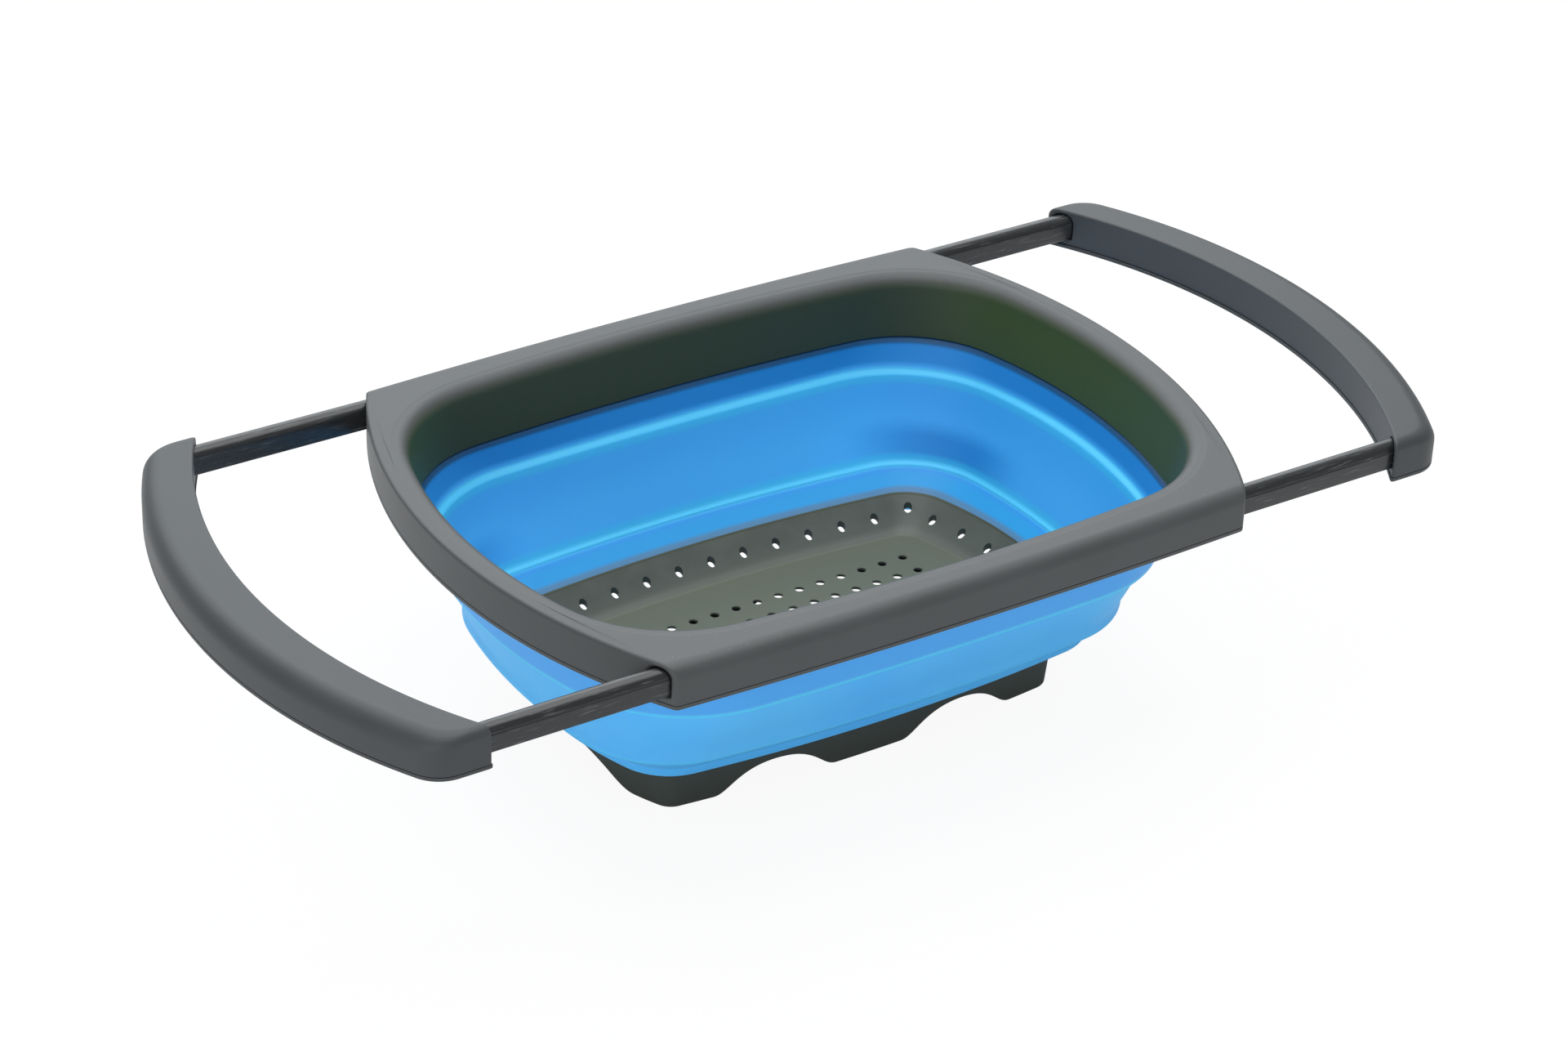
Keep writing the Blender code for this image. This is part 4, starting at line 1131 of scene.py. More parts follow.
@dataclass(frozen=True)
class RodSection:
    """Section of a sliding rod: flat sides, rounded top, a narrow ledge along its outer side."""

    inner_y: float = 0.1174
    width: float = 0.0086
    bottom: float = 0.1098
    height: float = 0.0116
    top_round: float = 0.0038
    bottom_round: float = 0.0008
    ledge_drop: float = 0.0034
    ledge_depth: float = 0.0004

    def outline(self, side: int, clearance: float = 0.0) -> Places:
        """Section in Y and Z.

        Args:
            side: 1 or -1 for the rod at +Y or -Y.
            clearance: Distance that the section is grown by, which also leaves out its ledge.

        Returns:
            The points in order.
        """
        low_y, high_y = -clearance, self.width + clearance
        low_z, high_z = -clearance, self.height + clearance
        small, big = self.bottom_round, self.top_round + clearance
        points = [*arc(Vector((low_y + small, low_z + small)), small, math.pi, 1.5 * math.pi, 4),
                  *arc(Vector((high_y - small, low_z + small)), small, 1.5 * math.pi, 2 * math.pi, 4)]
        ledge_y = high_y
        start = 0.0
        if not clearance:
            ledge_z = high_z - self.ledge_drop
            ledge_y = high_y - self.ledge_depth
            points += [Vector((high_y, ledge_z - self.ledge_depth)), Vector((ledge_y, ledge_z))]
            start = math.asin((ledge_z - high_z + big) / big)
        points += arc(Vector((ledge_y - big, high_z - big)), big, start, math.pi / 2, 10)
        points += arc(Vector((low_y + big, high_z - big)), big, math.pi / 2, math.pi, 10)
        return [(side * (self.inner_y + p.x), self.bottom + p.y) for p in points]

    def mouth(self, name: str, side: int, face: Callable[[float], float], deep_x: float,
              clearance: float, lip: float) -> Piece:
        """Cutter for a rod's opening in a bowed face, with a rounded lip.

        Args:
            name: Name of the cutter.
            side: 1 or -1 for the rod at +Y or -Y.
            face: Place of the face along X by distance along Y.
            deep_x: End of the opening inside the piece.
            clearance: Play round the rod.
            lip: Radius of the lip.

        Returns:
            The closed cutter.
        """
        inwards = math.copysign(1, deep_x - face(self.inner_y))
        overshoot, steps = 0.004, 6
        depths = [lip * (1 - math.cos(math.pi / 2 * i / steps)) for i in range(steps + 1)]
        rings = []
        for depth in [-overshoot] + depths:
            grown = clearance + rounded_inset(lip, max(depth, 0.0))
            rings.append([Vector((face(y) + inwards * depth, y, z)) for y, z in self.outline(side, grown)])
        rings.append([Vector((deep_x, y, z)) for y, z in self.outline(side, clearance)])
        return skin(name, rings, Clip.CAPPED)


@dataclass(frozen=True)
class RimAssembly:
    """Rim cover, under ring and their screws."""

    levels: Levels
    plans: Plans
    rods: RodSection
    finishes: Finishes
    side_fillet: float = 0.0065
    end_fillet: float = 0.0015
    collar_fillet: float = 0.0065
    collar_bevel: float = 0.0003
    crease: float = 0.0001
    crease_out: float = 0.0009
    crease_width: float = 0.0003
    bevel: float = 0.0002
    wall: float = 0.0022
    ring_thickness: float = 0.0018
    ring_inset: float = 0.0051
    ring_round: float = 0.0004
    parting: float = 0.00018
    mouth_play: float = 0.0005
    mouth_lip: float = 0.0010
    guide_end_x: float = 0.1370
    screw_recess: float = 0.0002
    side_screw_inset: float = 0.0036
    end_screw_inset: float = 0.0052
    corner_screw_inset: float = 0.0345
    corner_screw_depth: float = 0.0093
    steps: RingSteps = RingSteps(22, 12, 18)

    def section(self, depth: float, inset: float) -> BarrelPlan:
        """Outline of the rim at a depth below its top.

        Args:
            depth: Distance below the top.
            inset: Further inset of every wall.

        Returns:
            The outline.
        """
        plan = self.plans.rim
        side = rounded_inset(self.side_fillet, depth) + inset
        end = rounded_inset(self.end_fillet, depth) + inset
        return BarrelPlan(plan.half_length - end, plan.half_width - side, plan.end_radius - end,
                          plan.side_radius - side, plan.corner_radius)

    def collar_profile(self) -> list[Row]:
        """Lip and inner wall of the collar from the top flat down to its lower edge.

        Returns:
            Outlines and levels from the top down.
        """
        radius, top, low = self.collar_fillet, self.levels.rim_top, self.levels.collar
        collar, edge = self.plans.collar, self.plans.collar_edge
        rows = []
        for i in range(10):
            angle = math.pi / 2 * (1 - i / 9)
            rows.append((collar.grown(radius - radius * math.cos(angle)),
                         top - radius + radius * math.sin(angle) - self.crease * math.sin(angle)))
        rows += [(collar.mixed(edge, share), top - radius + (low - top + radius) * share)
                 for share in (0.25, 0.5, 0.75, 0.95)]
        return rows + [(edge.grown(0.0001), low + self.collar_bevel),
                       (edge.grown(0.0001 + self.collar_bevel), low)]

    def build_cover(self) -> Piece:
        """Cover with rounded shoulders, rod mouths and a fine crease round its opening.

        Returns:
            The cover.
        """
        top, bottom = self.levels.rim_top, self.levels.rim + self.ring_thickness + self.parting
        collar, flare, wall = self.plans.collar, self.collar_fillet, self.wall
        rows = [(self.section(top - bottom, self.bevel), bottom),
                (self.section(top - bottom, 0.0), bottom + self.bevel)]
        depths = sorted(rounding_depths(self.side_fillet, 10) + [self.end_fillet, 0.0008], reverse=True)
        rows += [(self.section(depth, 0.0), top - depth) for depth in depths]
        rows.append((self.section(0.0, 0.0004), top))
        rows += [(collar.grown(flare + reach), top - drop) for reach, drop in (
            (0.0024, 0.0), (self.crease_out + self.crease_width, 0.0),
            (self.crease_out, self.crease), (0.0, self.crease))]
        rows += self.collar_profile()[1:]
        rows += [(self.plans.collar_edge.grown(wall), self.levels.collar),
                 (collar.grown(wall), top - flare), (collar.grown(wall + 0.002), top - wall),
                 (self.section(wall, wall), top - wall),
                 (self.section(self.side_fillet, wall), top - self.side_fillet),
                 (self.section(top - bottom, wall), bottom)]
        cover = loft("rim_cover_shell", rows, self.steps, Clip.LOOP)
        faces = ((self.plans.rim.end_x, self.guide_end_x),
                 (lambda y: -self.plans.rim.end_x(y), -self.guide_end_x))
        mouths = [self.rods.mouth("mouth", side, face, deep_x, self.mouth_play, self.mouth_lip)
                  for side in (1, -1) for face, deep_x in faces]
        return carve(cover, mouths)

    def build_ring(self, places: Places) -> Piece:
        """Flat ring that closes the rim from below.

        Args:
            places: Axes of its screws.

        Returns:
            The ring with the screws' seats.
        """
        low, high = self.levels.rim, self.levels.rim + self.ring_thickness
        inner = self.plans.collar_edge.mixed(self.plans.collar, 0.5).grown(self.ring_inset)
        rim = self.plans.rim
        flat_start, flat_end, bevel = 0.002, 0.0007, 0.0001
        rows = [(inner, low), (inner.grown(flat_start), low), (rim.grown(-flat_end), low)]
        rows += [(rim.grown(-inset), low + rise) for inset, rise in under_edge(self.ring_round)]
        rows += [(rim, high - bevel), (rim.grown(-bevel), high), (inner, high)]
        ring = loft("rim_under_ring_shell", rows, self.steps, Clip.LOOP)
        return carve(ring, Screws().seats(places, low, self.screw_recess, high))

    def screw_places(self) -> Places:
        """Axes of the rim's screws.

        Returns:
            Their places in plan.
        """
        rim = self.plans.rim
        side_y, end_x = rim.half_width - self.side_screw_inset, rim.half_length - self.end_screw_inset
        corner_y = rim.half_width - self.corner_screw_inset
        corner_x = rim.end_x(corner_y) - self.corner_screw_depth
        return [place for sign in (1, -1) for place in (
            (0.0, sign * side_y), (sign * end_x, 0.0), (sign * corner_x, corner_y),
            (sign * corner_x, -corner_y))]

    def build(self) -> None:
        """Make and dress every piece of the rim."""
        places = self.screw_places()
        dress(self.build_cover(), self.finishes.rim, Body.RIM, ["rim_cover"])
        dress(self.build_ring(places), self.finishes.ring, Body.RIM, ["rim_under_ring"])
        screws = Screws().drive("rim_screws", places, self.levels.rim + self.screw_recess,
                                self.finishes.steel)
        dress(screws, self.finishes.steel, Body.RIM,
              ["rim_screw_%d" % (i + 1) for i in range(len(places))])


@dataclass(frozen=True)
class Bellows:
    """Silicone wall in one moulding: root behind the collar, upper band, main wall and foot band."""

    levels: Levels
    plans: Plans
    finishes: Finishes
    root_thickness: float = 0.0021
    root_height: float = 0.0150
    behind_collar: float = 0.0024
    root_share: float = 0.6
    bead_height: float = 0.0026
    bead_reach: float = 0.0011
    bow: float = 0.12
    upper_ledge: float = 0.12
    lower_ledge: float = 0.06
    ledge_drop: float = 0.0018
    ledge_rise: float = 0.0008
    ridge: float = 0.0003
    inner_face_rise: float = 0.0005
    inner_face_drop: float = 0.0022
    face_reach: float = 0.0022
    face_drop: float = 0.0030
    face_end_drop: float = 0.0020
    notch_share: float = 0.72
    notch_height: float = 0.0012
    wall_curve: float = 1.15
    lip_in: float = 0.0012
    fold_swell: float = 0.0026
    swell_height: float = 0.0042
    lip_thickness: float = 0.0011
    flange_reach: float = 0.0083
    flange_thickness: float = 0.0024
    band_drop: float = 0.0064
    band_reach: float = 0.0027
    band_round: float = 0.0018
    band_squeeze: float = 0.9
    under_share: float = 0.73
    slot_play: float = 0.0005
    steps: RingSteps = RingSteps(20, 16, 18)

    def main_share(self, level: float) -> float:
        """Share of the way from the lower fold's outline to the upper one's.

        The main wall is bowed outwards, and a narrow ledge joins it to each fold.

        Args:
            level: Height on the inner face.

        Returns:
            The share.
        """
        low, high = self.levels.lower_fold, self.levels.upper_fold
        start, stop = self.lower_ledge, 1 - self.upper_ledge
        way = min(max((level - low) / (high - low), 0.0), 1.0)
        share = start + (stop - start) * (way + self.bow * math.sin(math.pi * way) / math.pi)
        share += self.upper_ledge * smooth_step(level, high - self.ledge_drop, high + self.ledge_rise)
        below = 1 - smooth_step(level, low - self.ledge_rise, low + self.ledge_rise)
        return share - self.lower_ledge * below

    def plan(self, level: float) -> BarrelPlan:
        """Inner outline.

        Args:
            level: Height on the inner face.

        Returns:
            The outline there.
        """
        start, stop = self.levels.lower_fold - self.ledge_rise, self.levels.upper_fold + self.ledge_rise
        if level < start:
            share = (level - self.levels.edge) / (start - self.levels.edge)
            return self.plans.tray.mixed(self.plans.lower_fold, share)
        if level > stop:
            share = (level - stop) / (self.levels.collar - stop)
            return self.plans.upper_fold.mixed(self.plans.collar_edge, share)
        return self.plans.lower_fold.mixed(self.plans.upper_fold, self.main_share(level))

    def inner_bulge(self, level: float) -> float:
        """How far the inner face stands in at the folds, with a crease under the lower one.

        Args:
            level: Height on the inner face.

        Returns:
            The distance inwards.
        """
        low, high = self.levels.lower_fold, self.levels.upper_fold
        bumps = ((1.0, high - 0.0004, 0.0012), (1.3, low, 0.0010), (-1.0, low - 0.0020, 0.0006))
        return self.ridge * sum(size * math.exp(-((level - middle) / reach) ** 2)
                                for size, middle, reach in bumps)

    def heights(self, low: float, high: float) -> list[float]:
        """Levels between two heights, close together at the folds and the notch.

        Args:
            low: First level.
            high: Last level.

        Returns:
            The levels in order.
        """
        fine, coarse, fine_reach = 0.0003, 0.0014, 0.0026
        levels = [low]
        while levels[-1] < high:
            near = min(abs(levels[-1] - fold) for fold in (
                self.levels.upper_fold, self.levels.notch, self.levels.lower_fold))
            levels.append(levels[-1] + (fine if near < fine_reach else coarse))
        return levels[:-1] + [high]

    def profile(self) -> list[Row]:
        """Closed section of the moulding, up the inside and down the outside.

        Returns:
            Outlines and levels in order.
        """
        top, edge = self.levels.collar, self.plans.collar_edge
        rows = [(self.plans.tray.grown(0.0001), self.levels.edge)]
        rows += [(self.plan(z).grown(-self.inner_bulge(z)), z)
                 for z in self.heights(self.levels.edge + self.inner_face_rise,
                                       top - self.inner_face_drop)]
        rows += [(edge.grown(reach), top - drop) for reach, drop in (
            (0.0001, 0.0014), (0.0005, 0.0008), (0.0011, 0.0004), (self.behind_collar, 0.0003))]
        root, bead_low = top + self.root_height, top + self.root_height - self.bead_height
        back = edge.mixed(self.plans.collar, self.root_share)
        outer = self.behind_collar + self.root_thickness
        bead = back.grown(outer + self.bead_reach)
        rows += [(back.grown(self.behind_collar), root), (bead, root), (bead, bead_low),
                 (back.grown(outer), bead_low), (edge.grown(outer), top)]
        levels = self.heights(self.levels.edge - self.face_end_drop, top - self.face_drop)
        rows += [(self.outer_plan(z), z) for z in reversed(levels)]
        return rows + self.foot_edge()

    def outer_plan(self, level: float) -> BarrelPlan:
        """Outer outline, with a notch a little below the upper fold.

        Args:
            level: Height on the outer face.

        Returns:
            The outline there.
        """
        fold, notch = self.levels.lower_fold, self.levels.notch
        foot = self.levels.edge - self.face_end_drop
        upper, lower = self.plans.upper_fold, self.plans.lower_fold
        lip = replace(upper, half_length=upper.half_length - self.lip_in)
        lip_start = notch + self.notch_height
        swell = self.fold_swell * math.exp(-((level - fold) / self.swell_height) ** 2)
        if level > lip_start:
            share = (level - lip_start) / (self.levels.collar - lip_start)
            return lip.mixed(self.plans.collar_edge, share).grown(self.face_reach)
        if level >= fold:
            way = min((level - fold) / (notch - fold), 1.0)
            share = self.notch_share * (1 - (1 - way) ** self.wall_curve)
            share += (1 - self.notch_share) * smooth_step(level, notch - 0.0004, lip_start)
            return lower.mixed(lip, share).grown(self.face_reach + swell)
        end = self.plans.tray.grown(self.band_reach + self.band_round * self.band_squeeze)
        return lower.grown(self.face_reach).mixed(end, (fold - level) / (fold - foot)).grown(swell)

    def foot_edge(self) -> list[Row]:
        """Rounded lower edge, underside and the slot for the tray's flange.

        Returns:
            Outlines and levels in order.
        """
        tray, edge = self.plans.tray, self.levels.edge
        level = edge - self.band_drop
        rows = []
        for i in range(1, 8):
            angle = math.pi / 2 * i / 7
            reach = self.band_reach + self.band_round * (math.cos(angle) * self.band_squeeze)
            rows.append((tray.grown(reach), level + self.band_round * (1 - math.sin(angle))))
        under = self.plans.floor.mixed(tray, self.under_share).grown(self.slot_play)
        tip, tip_level = self.plans.flange(self.levels, self.flange_reach)
        drop = self.lip_thickness + self.flange_thickness
        return rows + [(under.grown(0.001), level), (under, level + 0.0002),
                       (tray.grown(self.slot_play), edge - 0.0030), (tip, tip_level - drop),
                       (tip, tip_level - self.lip_thickness),
                       (tray.grown(0.0001), edge - self.lip_thickness)]

    def build(self) -> None:
        """Make the moulding and keep its rest shape as coordinates."""
        profile = self.profile()
        piece = loft("silicone_bellows", profile, self.steps, Clip.LOOP)
        rest = piece.data.attributes.new("rest_place", "FLOAT_VECTOR", "POINT")
        rest.data.foreach_set("vector", [c for v in piece.data.vertices for c in v.co])
        turn = next(i for i, row in enumerate(profile) if row[1] > self.levels.collar)
        total = len(piece.data.vertices)
        inner = total // len(profile) * turn
        outside = piece.data.attributes.new("outside", "FLOAT", "POINT")
        outside.data.foreach_set("value", [0.0] * inner + [1.0] * (total - inner))
        piece.data.materials.append(self.finishes.silicone)
        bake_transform(piece)
        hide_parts("silicone_collar_band", "silicone_wall", "silicone_foot_band")
        log.info("%s: %d faces between base and rim", piece.name, len(piece.data.polygons))


@dataclass(frozen=True)
class Tray:
    """Perforated tray with its foot skirt."""

    levels: Levels
    plans: Plans
    finishes: Finishes
    floor_thickness: float = 0.0023
    wall_drop: float = 0.0030
    floor_fillet: float = 0.0016
    flange_reach: float = 0.0080
    flange_drop: float = 0.0014
    flange_thickness: float = 0.0018
    fillet_out: float = 1.2
    fillet_in: float = 1.4
    fillet_up: float = 1.1
    skirt_taper: float = 0.0018
    skirt_wall: float = 0.0022
    skirt_rise: float = 0.0005
    foot_round: float = 0.0009
    arch_height: float = 0.0122
    side_arch_centre: float = 0.0465
    side_arch_half_width: float = 0.0298
    end_arch_half_width: float = 0.0408
    steps: RingSteps = RingSteps(20, 12, 20)
    skirt_steps: RingSteps = RingSteps(44, 8, 80)

    def wall_row(self, share: float, drop: float) -> Row:
        """Outline and level on the sloping wall at a share of its height, at a drop below it."""
        level = self.levels.floor + (self.levels.edge - self.levels.floor) * share - drop
        return self.plans.floor.mixed(self.plans.tray, share), level

    def build_pan(self) -> Piece:
        """Floor, sloping wall and flange, punched.

        Returns:
            The pan.
        """
        floor, level, radius = self.plans.floor, self.levels.floor, self.floor_fillet
        tip, tip_level = self.plans.flange(self.levels, self.flange_reach)
        rows = [(floor.grown(-0.0010), level - self.floor_thickness),
                self.wall_row(0.06, self.wall_drop - 0.0003),
                self.wall_row(0.5, self.wall_drop), self.wall_row(1.0, self.wall_drop),
                (tip, tip_level - self.flange_drop - self.flange_thickness),
                (tip, tip_level - self.flange_drop),
                (self.plans.tray, self.levels.edge - self.flange_drop)]
        rows += [self.wall_row(share, 0.0) for share in (1.0, 0.9, 0.5, 0.25)]
        for i in range(7):
            share = i / 6
            reach = radius * (1 - share) * (1 - share) * self.fillet_out - radius * share * self.fillet_in
            rows.append((floor.grown(reach), level + radius * (1 - share) ** 2 * self.fillet_up))
        rows.append((floor.grown(-radius * self.fillet_in - 0.0004), level))
        pan = loft("tray_pan", rows, self.steps, Clip.CAPPED)
        return DrainHoles().tree(floor.mixed(self.plans.tray, 0.5), self.finishes.tray).run(pan)

    def arch_level(self, x: float, y: float) -> float:
        """Height of the skirt's scalloped edge.

        Args:
            x: Place of a point of its outline along X.
            y: Its place along Y.

        Returns:
            The height there.
        """
        if abs(x) < self.side_arch_centre + self.side_arch_half_width:
            return self.bell(abs(x) - self.side_arch_centre, self.side_arch_half_width)
        if abs(y) < self.end_arch_half_width:
            return self.bell(y, self.end_arch_half_width)
        return 0.0

    def bell(self, offset: float, half_width: float) -> float:
        """Height of a bell-shaped arch.

        Args:
            offset: Distance from its middle.
            half_width: Half of its width.

        Returns:
            The height, 0 outside the arch.
        """
        place = -abs(offset) / half_width
        if place <= -1:
            return 0.0
        foot_pull, crown_pull, halvings = 0.76, 0.64, 30
        low, high = 0.0, 1.0
        for _ in range(halvings):
            t = (low + high) / 2
            x = -(1 - t) ** 3 - 3 * foot_pull * (1 - t) ** 2 * t - 3 * crown_pull * (1 - t) * t ** 2
            low, high = (t, high) if x < place else (low, t)
        return self.arch_height * (3 * (1 - low) * low ** 2 + low ** 3)

    def build_skirt(self) -> Piece:
        """Foot skirt with a rounded, scalloped lower edge.

        Returns:
            The skirt.
        """
        top = self.levels.floor + self.skirt_rise
        small, wall = self.foot_round, self.skirt_wall
        profile = [(-wall, None, share) for share in (1.0, 0.5, 0.2)]
        profile += [(-wall + small - small * math.cos(a), small - small * math.sin(a), 0.0)
                    for a in (0.3, 0.8, 1.2, math.pi / 2)]
        profile += [(-inset, rise, 0.0) for rise, inset in reversed(under_edge(small))]
        profile += [(0.0, None, share) for share in (0.15, 0.3, 0.6, 1.0)]
        edges = [self.arch_level(p.x, p.y) for p in self.plans.foot.ring(0.0, self.skirt_steps)]
        rings = []
        for reach, rise, share in profile:
            ring = []
            inner = self.plans.foot.grown(reach).ring(0.0, self.skirt_steps)
            outer = self.plans.foot.grown(reach + self.skirt_taper).ring(0.0, self.skirt_steps)
            for low, high, edge in zip(inner, outer, edges):
                start = edge + small
                level = start + (top - start) * share if rise is None else edge + rise
                place = low.lerp(high, level / top)
                ring.append(Vector((place.x, place.y, level)))
            rings.append(ring)
        return skin("foot_skirt", rings, Clip.LOOP)

    def build(self) -> None:
        """Make and dress the tray."""
        for piece in (self.build_pan(), self.build_skirt()):
            dress(piece, self.finishes.tray, Body.BASE, ["base_tray"])


@dataclass(frozen=True)
class Handle:
    """Crescent grip, its under plate, two rods and three screws."""

    body: Body
    levels: Levels
    rods: RodSection
    finishes: Finishes
    outer_mid_x: float = 0.2810
    outer_radius: float = 0.2500
    inner_mid_x: float = 0.2576
    inner_radius: float = 0.2446
    half_width: float = 0.1286
    corner_radius: float = 0.0160
    outer_fillet: float = 0.0085
    side_fillet: float = 0.0045
    inner_fillet: float = 0.0010
    end_round: float = 0.0022
    arc_steps: int = 44
    corner_steps: int = 14
    plate_thickness: float = 0.0019
    plate_lip: float = 0.0005
    plate_round: float = 0.0007
    parting: float = 0.00018
    rod_start_x: float = 0.0820
    rod_end_x: float = 0.2400
    core_length: float = 0.0580
    core_pitch: float = 0.0620
    core_half_width: float = 0.0021
    core_depth: float = 0.0070
    head_length: float = 0.0060
    head_reach: float = 0.0025
    pocket_play: float = 0.0004
    pocket_lip: float = 0.0008
    screw_x: float = 0.2320
    screw_recess: float = 0.0002

    def outline(self, outer: float, side: float, inner: float, level: float) -> Ring:
        """Crescent outline of the grip.

        Args:
            outer: Inset of the outer edge.
            side: Inset of both ends.
            inner: Inset of the inner edge.
            level: Height of the points.

        Returns:
            A closed list of points.
        """
        outer_radius, inner_radius = self.outer_radius - outer, self.inner_radius + inner
        outer_centre = Vector((self.outer_mid_x - self.outer_radius, 0))
        inner_centre = Vector((self.inner_mid_x - self.inner_radius, 0))
        reach, to_corner = self.half_width - side, outer_radius - self.corner_radius
        corner_angle = math.asin((reach - self.corner_radius) / to_corner)
        corner_centre = arc(outer_centre, to_corner, corner_angle, corner_angle, 1)[0]
        corner = arc(corner_centre, self.corner_radius, corner_angle, math.pi / 2,
                     self.corner_steps)[1:]
        tip_angle = math.asin(reach / inner_radius)
        tip = arc(inner_centre, inner_radius, tip_angle, tip_angle, 1)[0]
        start = tip + Vector((self.end_round, 0))
        inside_angle = tip_angle - self.end_round / inner_radius
        inside = arc(inner_centre, inner_radius, inside_angle, -inside_angle, self.arc_steps)
        rounding = [start * (1 - t) ** 2 + tip * 2 * t * (1 - t) + inside[0] * t ** 2
                    for t in (0.0, 0.2, 0.4, 0.6, 0.8)]
        points = arc(outer_centre, outer_radius, -corner_angle, corner_angle, self.arc_steps)
        points += corner + rounding + inside
        points += [Vector((p.x, -p.y)) for p in reversed(corner + rounding)]
        return [Vector((p.x, p.y, level)) for p in points]

    def inner_x(self, y: float) -> float:
        """Place of the grip's inner face along X at a distance along Y."""
        return self.inner_mid_x - self.inner_radius + math.sqrt(self.inner_radius ** 2 - y ** 2)

    def build_grip(self) -> Piece:
        """Grip cap with a pocket for each rod.

        Returns:
            The cap.
        """
        top = self.levels.rim_top
        bottom = self.levels.rim + self.plate_thickness + self.parting
        bevel, inset = 0.0002, 0.0004
        rings = [self.outline(bevel, bevel, bevel, bottom), self.outline(0.0, 0.0, 0.0, bottom + bevel)]
        depths = rounding_depths(self.outer_fillet, 12) + rounding_depths(self.inner_fillet, 4)
        for depth in sorted(set(depths), reverse=True)[:-1] + [0.0]:
            rings.append(self.outline(rounded_inset(self.outer_fillet, depth),
                                      rounded_inset(self.side_fillet, depth),
                                      rounded_inset(self.inner_fillet, depth), top - depth))
        rings.append(self.outline(self.outer_fillet + inset, self.side_fillet + inset,
                                  self.inner_fillet + inset, top))
        grip = skin(self.body.value + "_grip_cap", rings, Clip.CAPPED)
        pockets = [self.rods.mouth("pocket_%d" % side, side, self.inner_x, self.rod_end_x,
                                   self.pocket_play, self.pocket_lip) for side in (1, -1)]
        return carve(grip, pockets)

    def build_plate(self) -> Piece:
        """Plate that closes the grip from below.

        Returns:
            The plate with the screws' seats.
        """
        low, high = self.levels.rim, self.levels.rim + self.plate_thickness
        bevel = 0.0001
        rows = [(self.plate_round + 0.0004, low)]
        rows += [(inset, low + rise) for inset, rise in under_edge(self.plate_round)]
        rows += [(0.0, high - bevel), (bevel, high)]
        rings = [self.outline(inset, inset, inset - self.plate_lip, level) for inset, level in rows]
        plate = skin(self.body.value + "_plate", rings, Clip.CAPPED)
        return carve(plate, Screws().seats(self.screw_places(), low, self.screw_recess, high))

    def build_rod(self, side: int) -> Piece:
        """Rod with its stop head, cored from below.

        Args:
            side: 1 or -1 for the rod at +Y or -Y.

        Returns:
            The rod.
        """
        start_x, bottom, inner_y = self.rod_start_x, self.rods.bottom, self.rods.inner_y
        section = self.rods.outline(side)
        rod = skin("rod", [[Vector((x, y, z)) for y, z in section] for x in (start_x, self.rod_end_x)],
                   Clip.CAPPED)
        middle, overshoot, overlap = inner_y + self.rods.width / 2, 0.01, 0.002
        cores = []
        for index in range(2):
            core_x = start_x + self.head_length + index * self.core_pitch
            cores.append(self.block("core_%d" % index,
                                    (core_x, side * (middle - self.core_half_width), bottom - overshoot),
                                    (core_x + self.core_length, side * (middle + self.core_half_width),
                                     bottom + self.core_depth)))
        rod = carve(rod, cores)
        head = self.block("head", (start_x, side * (inner_y - self.head_reach), bottom),
                          (start_x + self.head_length, side * (inner_y + overlap),
                           bottom + self.core_depth))
        shape = bmesh.new()
        shape.from_mesh(rod.data)
        shape.from_mesh(head.data)
        shape.to_mesh(rod.data)
        shape.free()
        bpy.data.objects.remove(head)
        soften(rod)
        return rod

    def block(self, name: str, first: Triple, second: Triple) -> Piece:
        """Block between two opposite corners.

        Args:
            name: Name of the block.
            first: One corner.
            second: The corner opposite.

        Returns:
            The closed block.
        """
        low, high = Vector(map(min, first, second)), Vector(map(max, first, second))
        corners = ((low.x, low.y), (high.x, low.y), (high.x, high.y), (low.x, high.y))
        return skin(name, [[Vector((x, y, z)) for x, y in corners] for z in (low.z, high.z)], Clip.CAPPED)

    def screw_places(self) -> Places:
        """Axes of the grip's screws.

        Returns:
            Their places in plan.
        """
        middle = self.rods.inner_y + self.rods.width / 2
        return [((self.outer_mid_x + self.inner_mid_x) / 2, 0.0), (self.screw_x, middle),
                (self.screw_x, -middle)]

    def build(self) -> None:
        """Make and dress one handle, built at +X and turned to its end."""
        name, finishes = self.body.value, self.finishes
        grip, plate = self.build_grip(), self.build_plate()
        front, rear = self.build_rod(-1), self.build_rod(1)
        screws = Screws().drive(name + "_screws", self.screw_places(),
                                self.levels.rim + self.screw_recess, finishes.steel)
        if self.body is Body.LEFT:
            for piece in (grip, plate, front, rear, screws):
                piece.data.transform(Matrix.Rotation(math.pi, 4, "Z"))
            front, rear = rear, front
        front.name, rear.name = name + "_front_rod", name + "_rear_rod"
        for piece, finish, slot, nodes in (
                (grip, finishes.grip, "grip_plastic", ["grip"]),
                (plate, finishes.plate, "plate_plastic", ["under_plate"]),
                (front, finishes.rod, "rod_plastic", ["rod_front"]),
                (rear, finishes.rod, "rod_plastic", ["rod_rear"]),
                (screws, finishes.steel, "screw_steel", ["screw_1", "screw_2", "screw_3"])):
            dress(piece, finish, self.body, ["%s_%s" % (name, node) for node in nodes])


# Studio


@dataclass(frozen=True)
class Softbox:
    """Rectangular area light."""

    name: str
    place: Triple
    target: Triple
    size: Pair
    power: float
    colour: Colour = (1.0, 1.0, 1.0)

    def build(self) -> None:
        """Hang the light and aim it."""
        data = bpy.data.lights.new(self.name, "AREA")
        data.shape = "RECTANGLE"
        data.size, data.size_y = self.size
        data.energy = self.power
        data.color = self.colour
        lamp = shown(self.name, data)
        lamp.location = self.place
        aim = Vector(self.target) - Vector(self.place)
        lamp.rotation_euler = aim.to_track_quat("-Z", "Y").to_euler()


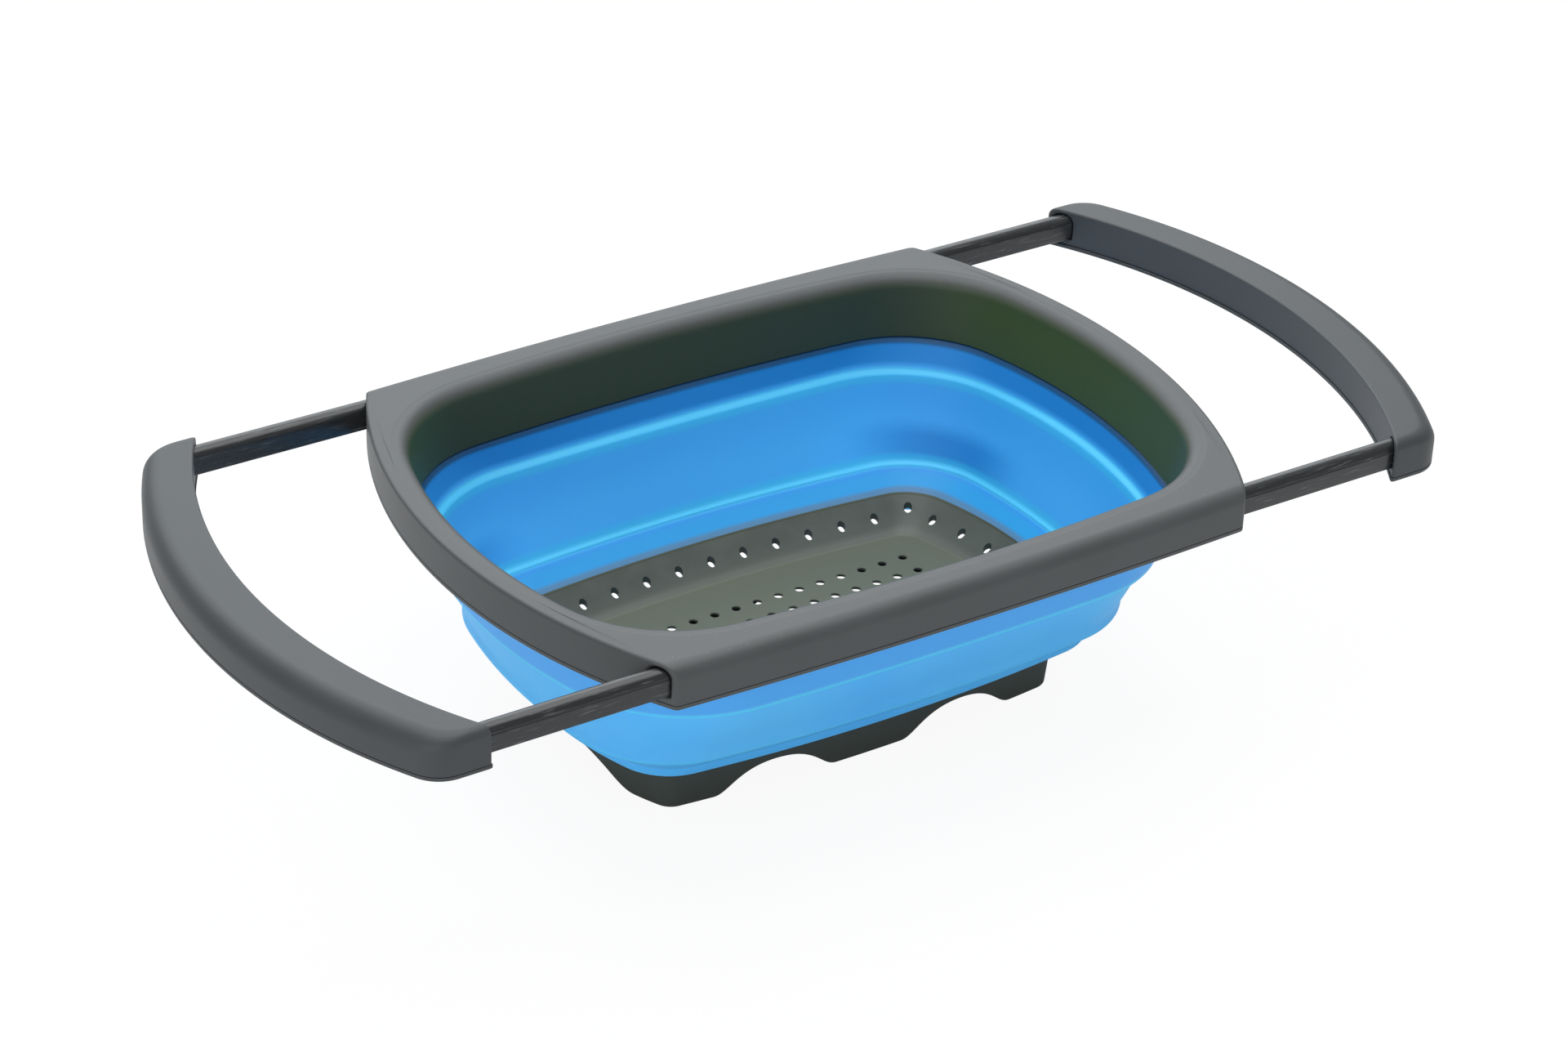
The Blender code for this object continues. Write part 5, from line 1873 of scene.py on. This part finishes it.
@dataclass(frozen=True)
class Studio:
    """Camera at the photograph's angle, pale floor and soft light."""

    focal_pixels: float = 5246.2812
    frame_width: int = 1920
    sensor: float = 36.0
    azimuth: float = 33.747
    elevation: float = 30.8647
    roll: float = 2.337
    distance: float = 1.833335
    shift_x: float = -0.0056013
    shift_y: float = -0.0194959
    pivot_level: float = 0.1045
    near_clip: float = 0.05
    far_clip: float = 50.0
    floor_size: float = 6.0
    floor_grey: float = 0.82
    world_light: float = 0.44
    shown_white: float = 0.93

    def build_camera(self) -> None:
        """Place the camera."""
        az, el, roll = (math.radians(a) for a in (self.azimuth, self.elevation, self.roll))
        ahead = Vector((math.sin(az) * math.cos(el), math.cos(az) * math.cos(el), -math.sin(el)))
        right = Vector((math.cos(az), -math.sin(az), 0))
        up = right.cross(ahead)
        place = (Vector((0, 0, self.pivot_level)) - ahead * self.distance + right * self.shift_x
                 + up * self.shift_y)
        tilted_right = right * math.cos(roll) + up * math.sin(roll)
        tilted_up = up * math.cos(roll) - right * math.sin(roll)
        data = bpy.data.cameras.new("camera")
        data.sensor_width = self.sensor
        data.lens = self.focal_pixels / self.frame_width * self.sensor
        data.clip_start, data.clip_end = self.near_clip, self.far_clip
        camera = shown("camera", data)
        axes = Matrix((tilted_right, tilted_up, -ahead)).transposed().to_4x4()
        camera.matrix_world = Matrix.Translation(place) @ axes
        bpy.context.scene.camera = camera

    def build_floor(self) -> None:
        """Lay a pale floor that shows white and keeps a soft shadow."""
        half = self.floor_size / 2
        mesh = bpy.data.meshes.new("floor")
        mesh.from_pydata([(-half, -half, 0), (half, -half, 0), (half, half, 0), (-half, half, 0)], [],
                         [(0, 1, 2, 3)])
        floor = shown("floor", mesh)
        paint = bpy.data.materials.new("floor_white")
        paint.use_nodes = True
        graph = NodeGraph(paint.node_tree)
        matt = graph.node("ShaderNodeBsdfDiffuse", None, {"Color": (*[self.floor_grey] * 3, 1.0)})
        glow = graph.node("ShaderNodeEmission", None, {"Color": WHITE, "Strength": 1.0})
        mixed = graph.node("ShaderNodeMixShader", None, {
            0: graph.camera_ray() * self.shown_white, 1: matt.outputs[0], 2: glow.outputs[0]})
        graph.node("ShaderNodeOutputMaterial", None, {0: mixed.outputs[0]})
        mesh.materials.append(paint)

    def build_world(self) -> None:
        """Surround the scene with even light that shows white."""
        world = bpy.data.worlds.new("studio")
        world.use_nodes = True
        bpy.context.scene.world = world
        graph = NodeGraph(world.node_tree)
        strength = self.world_light + graph.camera_ray() * (1.0 - self.world_light)
        sky = graph.node("ShaderNodeBackground", None, {"Color": WHITE, "Strength": strength})
        graph.node("ShaderNodeOutputWorld", None, {0: sky.outputs[0]})

    def build(self) -> None:
        """Set up the whole studio."""
        self.build_camera()
        self.build_floor()
        self.build_world()
        for lamp in (Softbox("overhead", place=(0.0, 0.05, 1.6), target=(0, 0, 0.1), size=(1.7, 1.4),
                             power=24),
                     Softbox("behind", place=(0.42, 1.32, 0.95), target=(0, 0, 0.1), size=(2.0, 1.2),
                             power=19, colour=(0.92, 0.97, 1.0)),
                     Softbox("front_left", place=(-1.45, -0.95, 0.45), target=(0, 0, 0.08),
                             size=(1.5, 0.7), power=6.3)):
            lamp.build()
        bpy.context.scene.view_settings.view_transform = "Standard"


def main() -> None:
    """Build every class in order."""
    logging.basicConfig(level=logging.INFO, format="%(message)s")
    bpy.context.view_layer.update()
    levels, plans, rods = Levels(), Plans(), RodSection()
    rim_colour = (0.056, 0.062, 0.065)
    finishes = Finishes(
        # The rim's material paints shade on the collar's inner wall.
        rim=MattePlastic("rim_plastic", rim_colour, roughness=0.48, grain_depth=0.00003, dust=0.4,
                         painted_collar_shade=(0.036, 0.050, 0.022)).make(),
        ring=MattePlastic("ring_plastic", rim_colour, roughness=0.50, grain_depth=0.00003).make(),
        grip=MattePlastic("grip_plastic", (0.038, 0.044, 0.049), roughness=0.48, grain_depth=0.00004,
                          dust=0.4).make(),
        plate=MattePlastic("plate_plastic", (0.040, 0.046, 0.050), roughness=0.52,
                           grain_depth=0.00004).make(),
        rod=SatinPlastic("rod_plastic", (0.014, 0.016, 0.018), roughness=0.26,
                         streaks=(70.0, 1300.0, 1300.0), streak_depth=0.00003, rubbed=0.5).make(),
        tray=SatinPlastic("tray_plastic", (0.066, 0.077, 0.062), roughness=0.46,
                          streaks=(60.0, 60.0, 60.0), streak_depth=0.00001,
                          floor_level=levels.floor).make(),
        silicone=Silicone("blue_silicone", levels).make(),
        steel=ScrewSteel("screw_steel").make())
    RimAssembly(levels, plans, rods, finishes).build()
    Bellows(levels, plans, finishes).build()
    Tray(levels, plans, finishes).build()
    for body in (Body.RIGHT, Body.LEFT):
        Handle(body, levels, rods, finishes).build()
    Studio().build()
    bpy.context.view_layer.update()


if __name__ == "__main__":
    main()
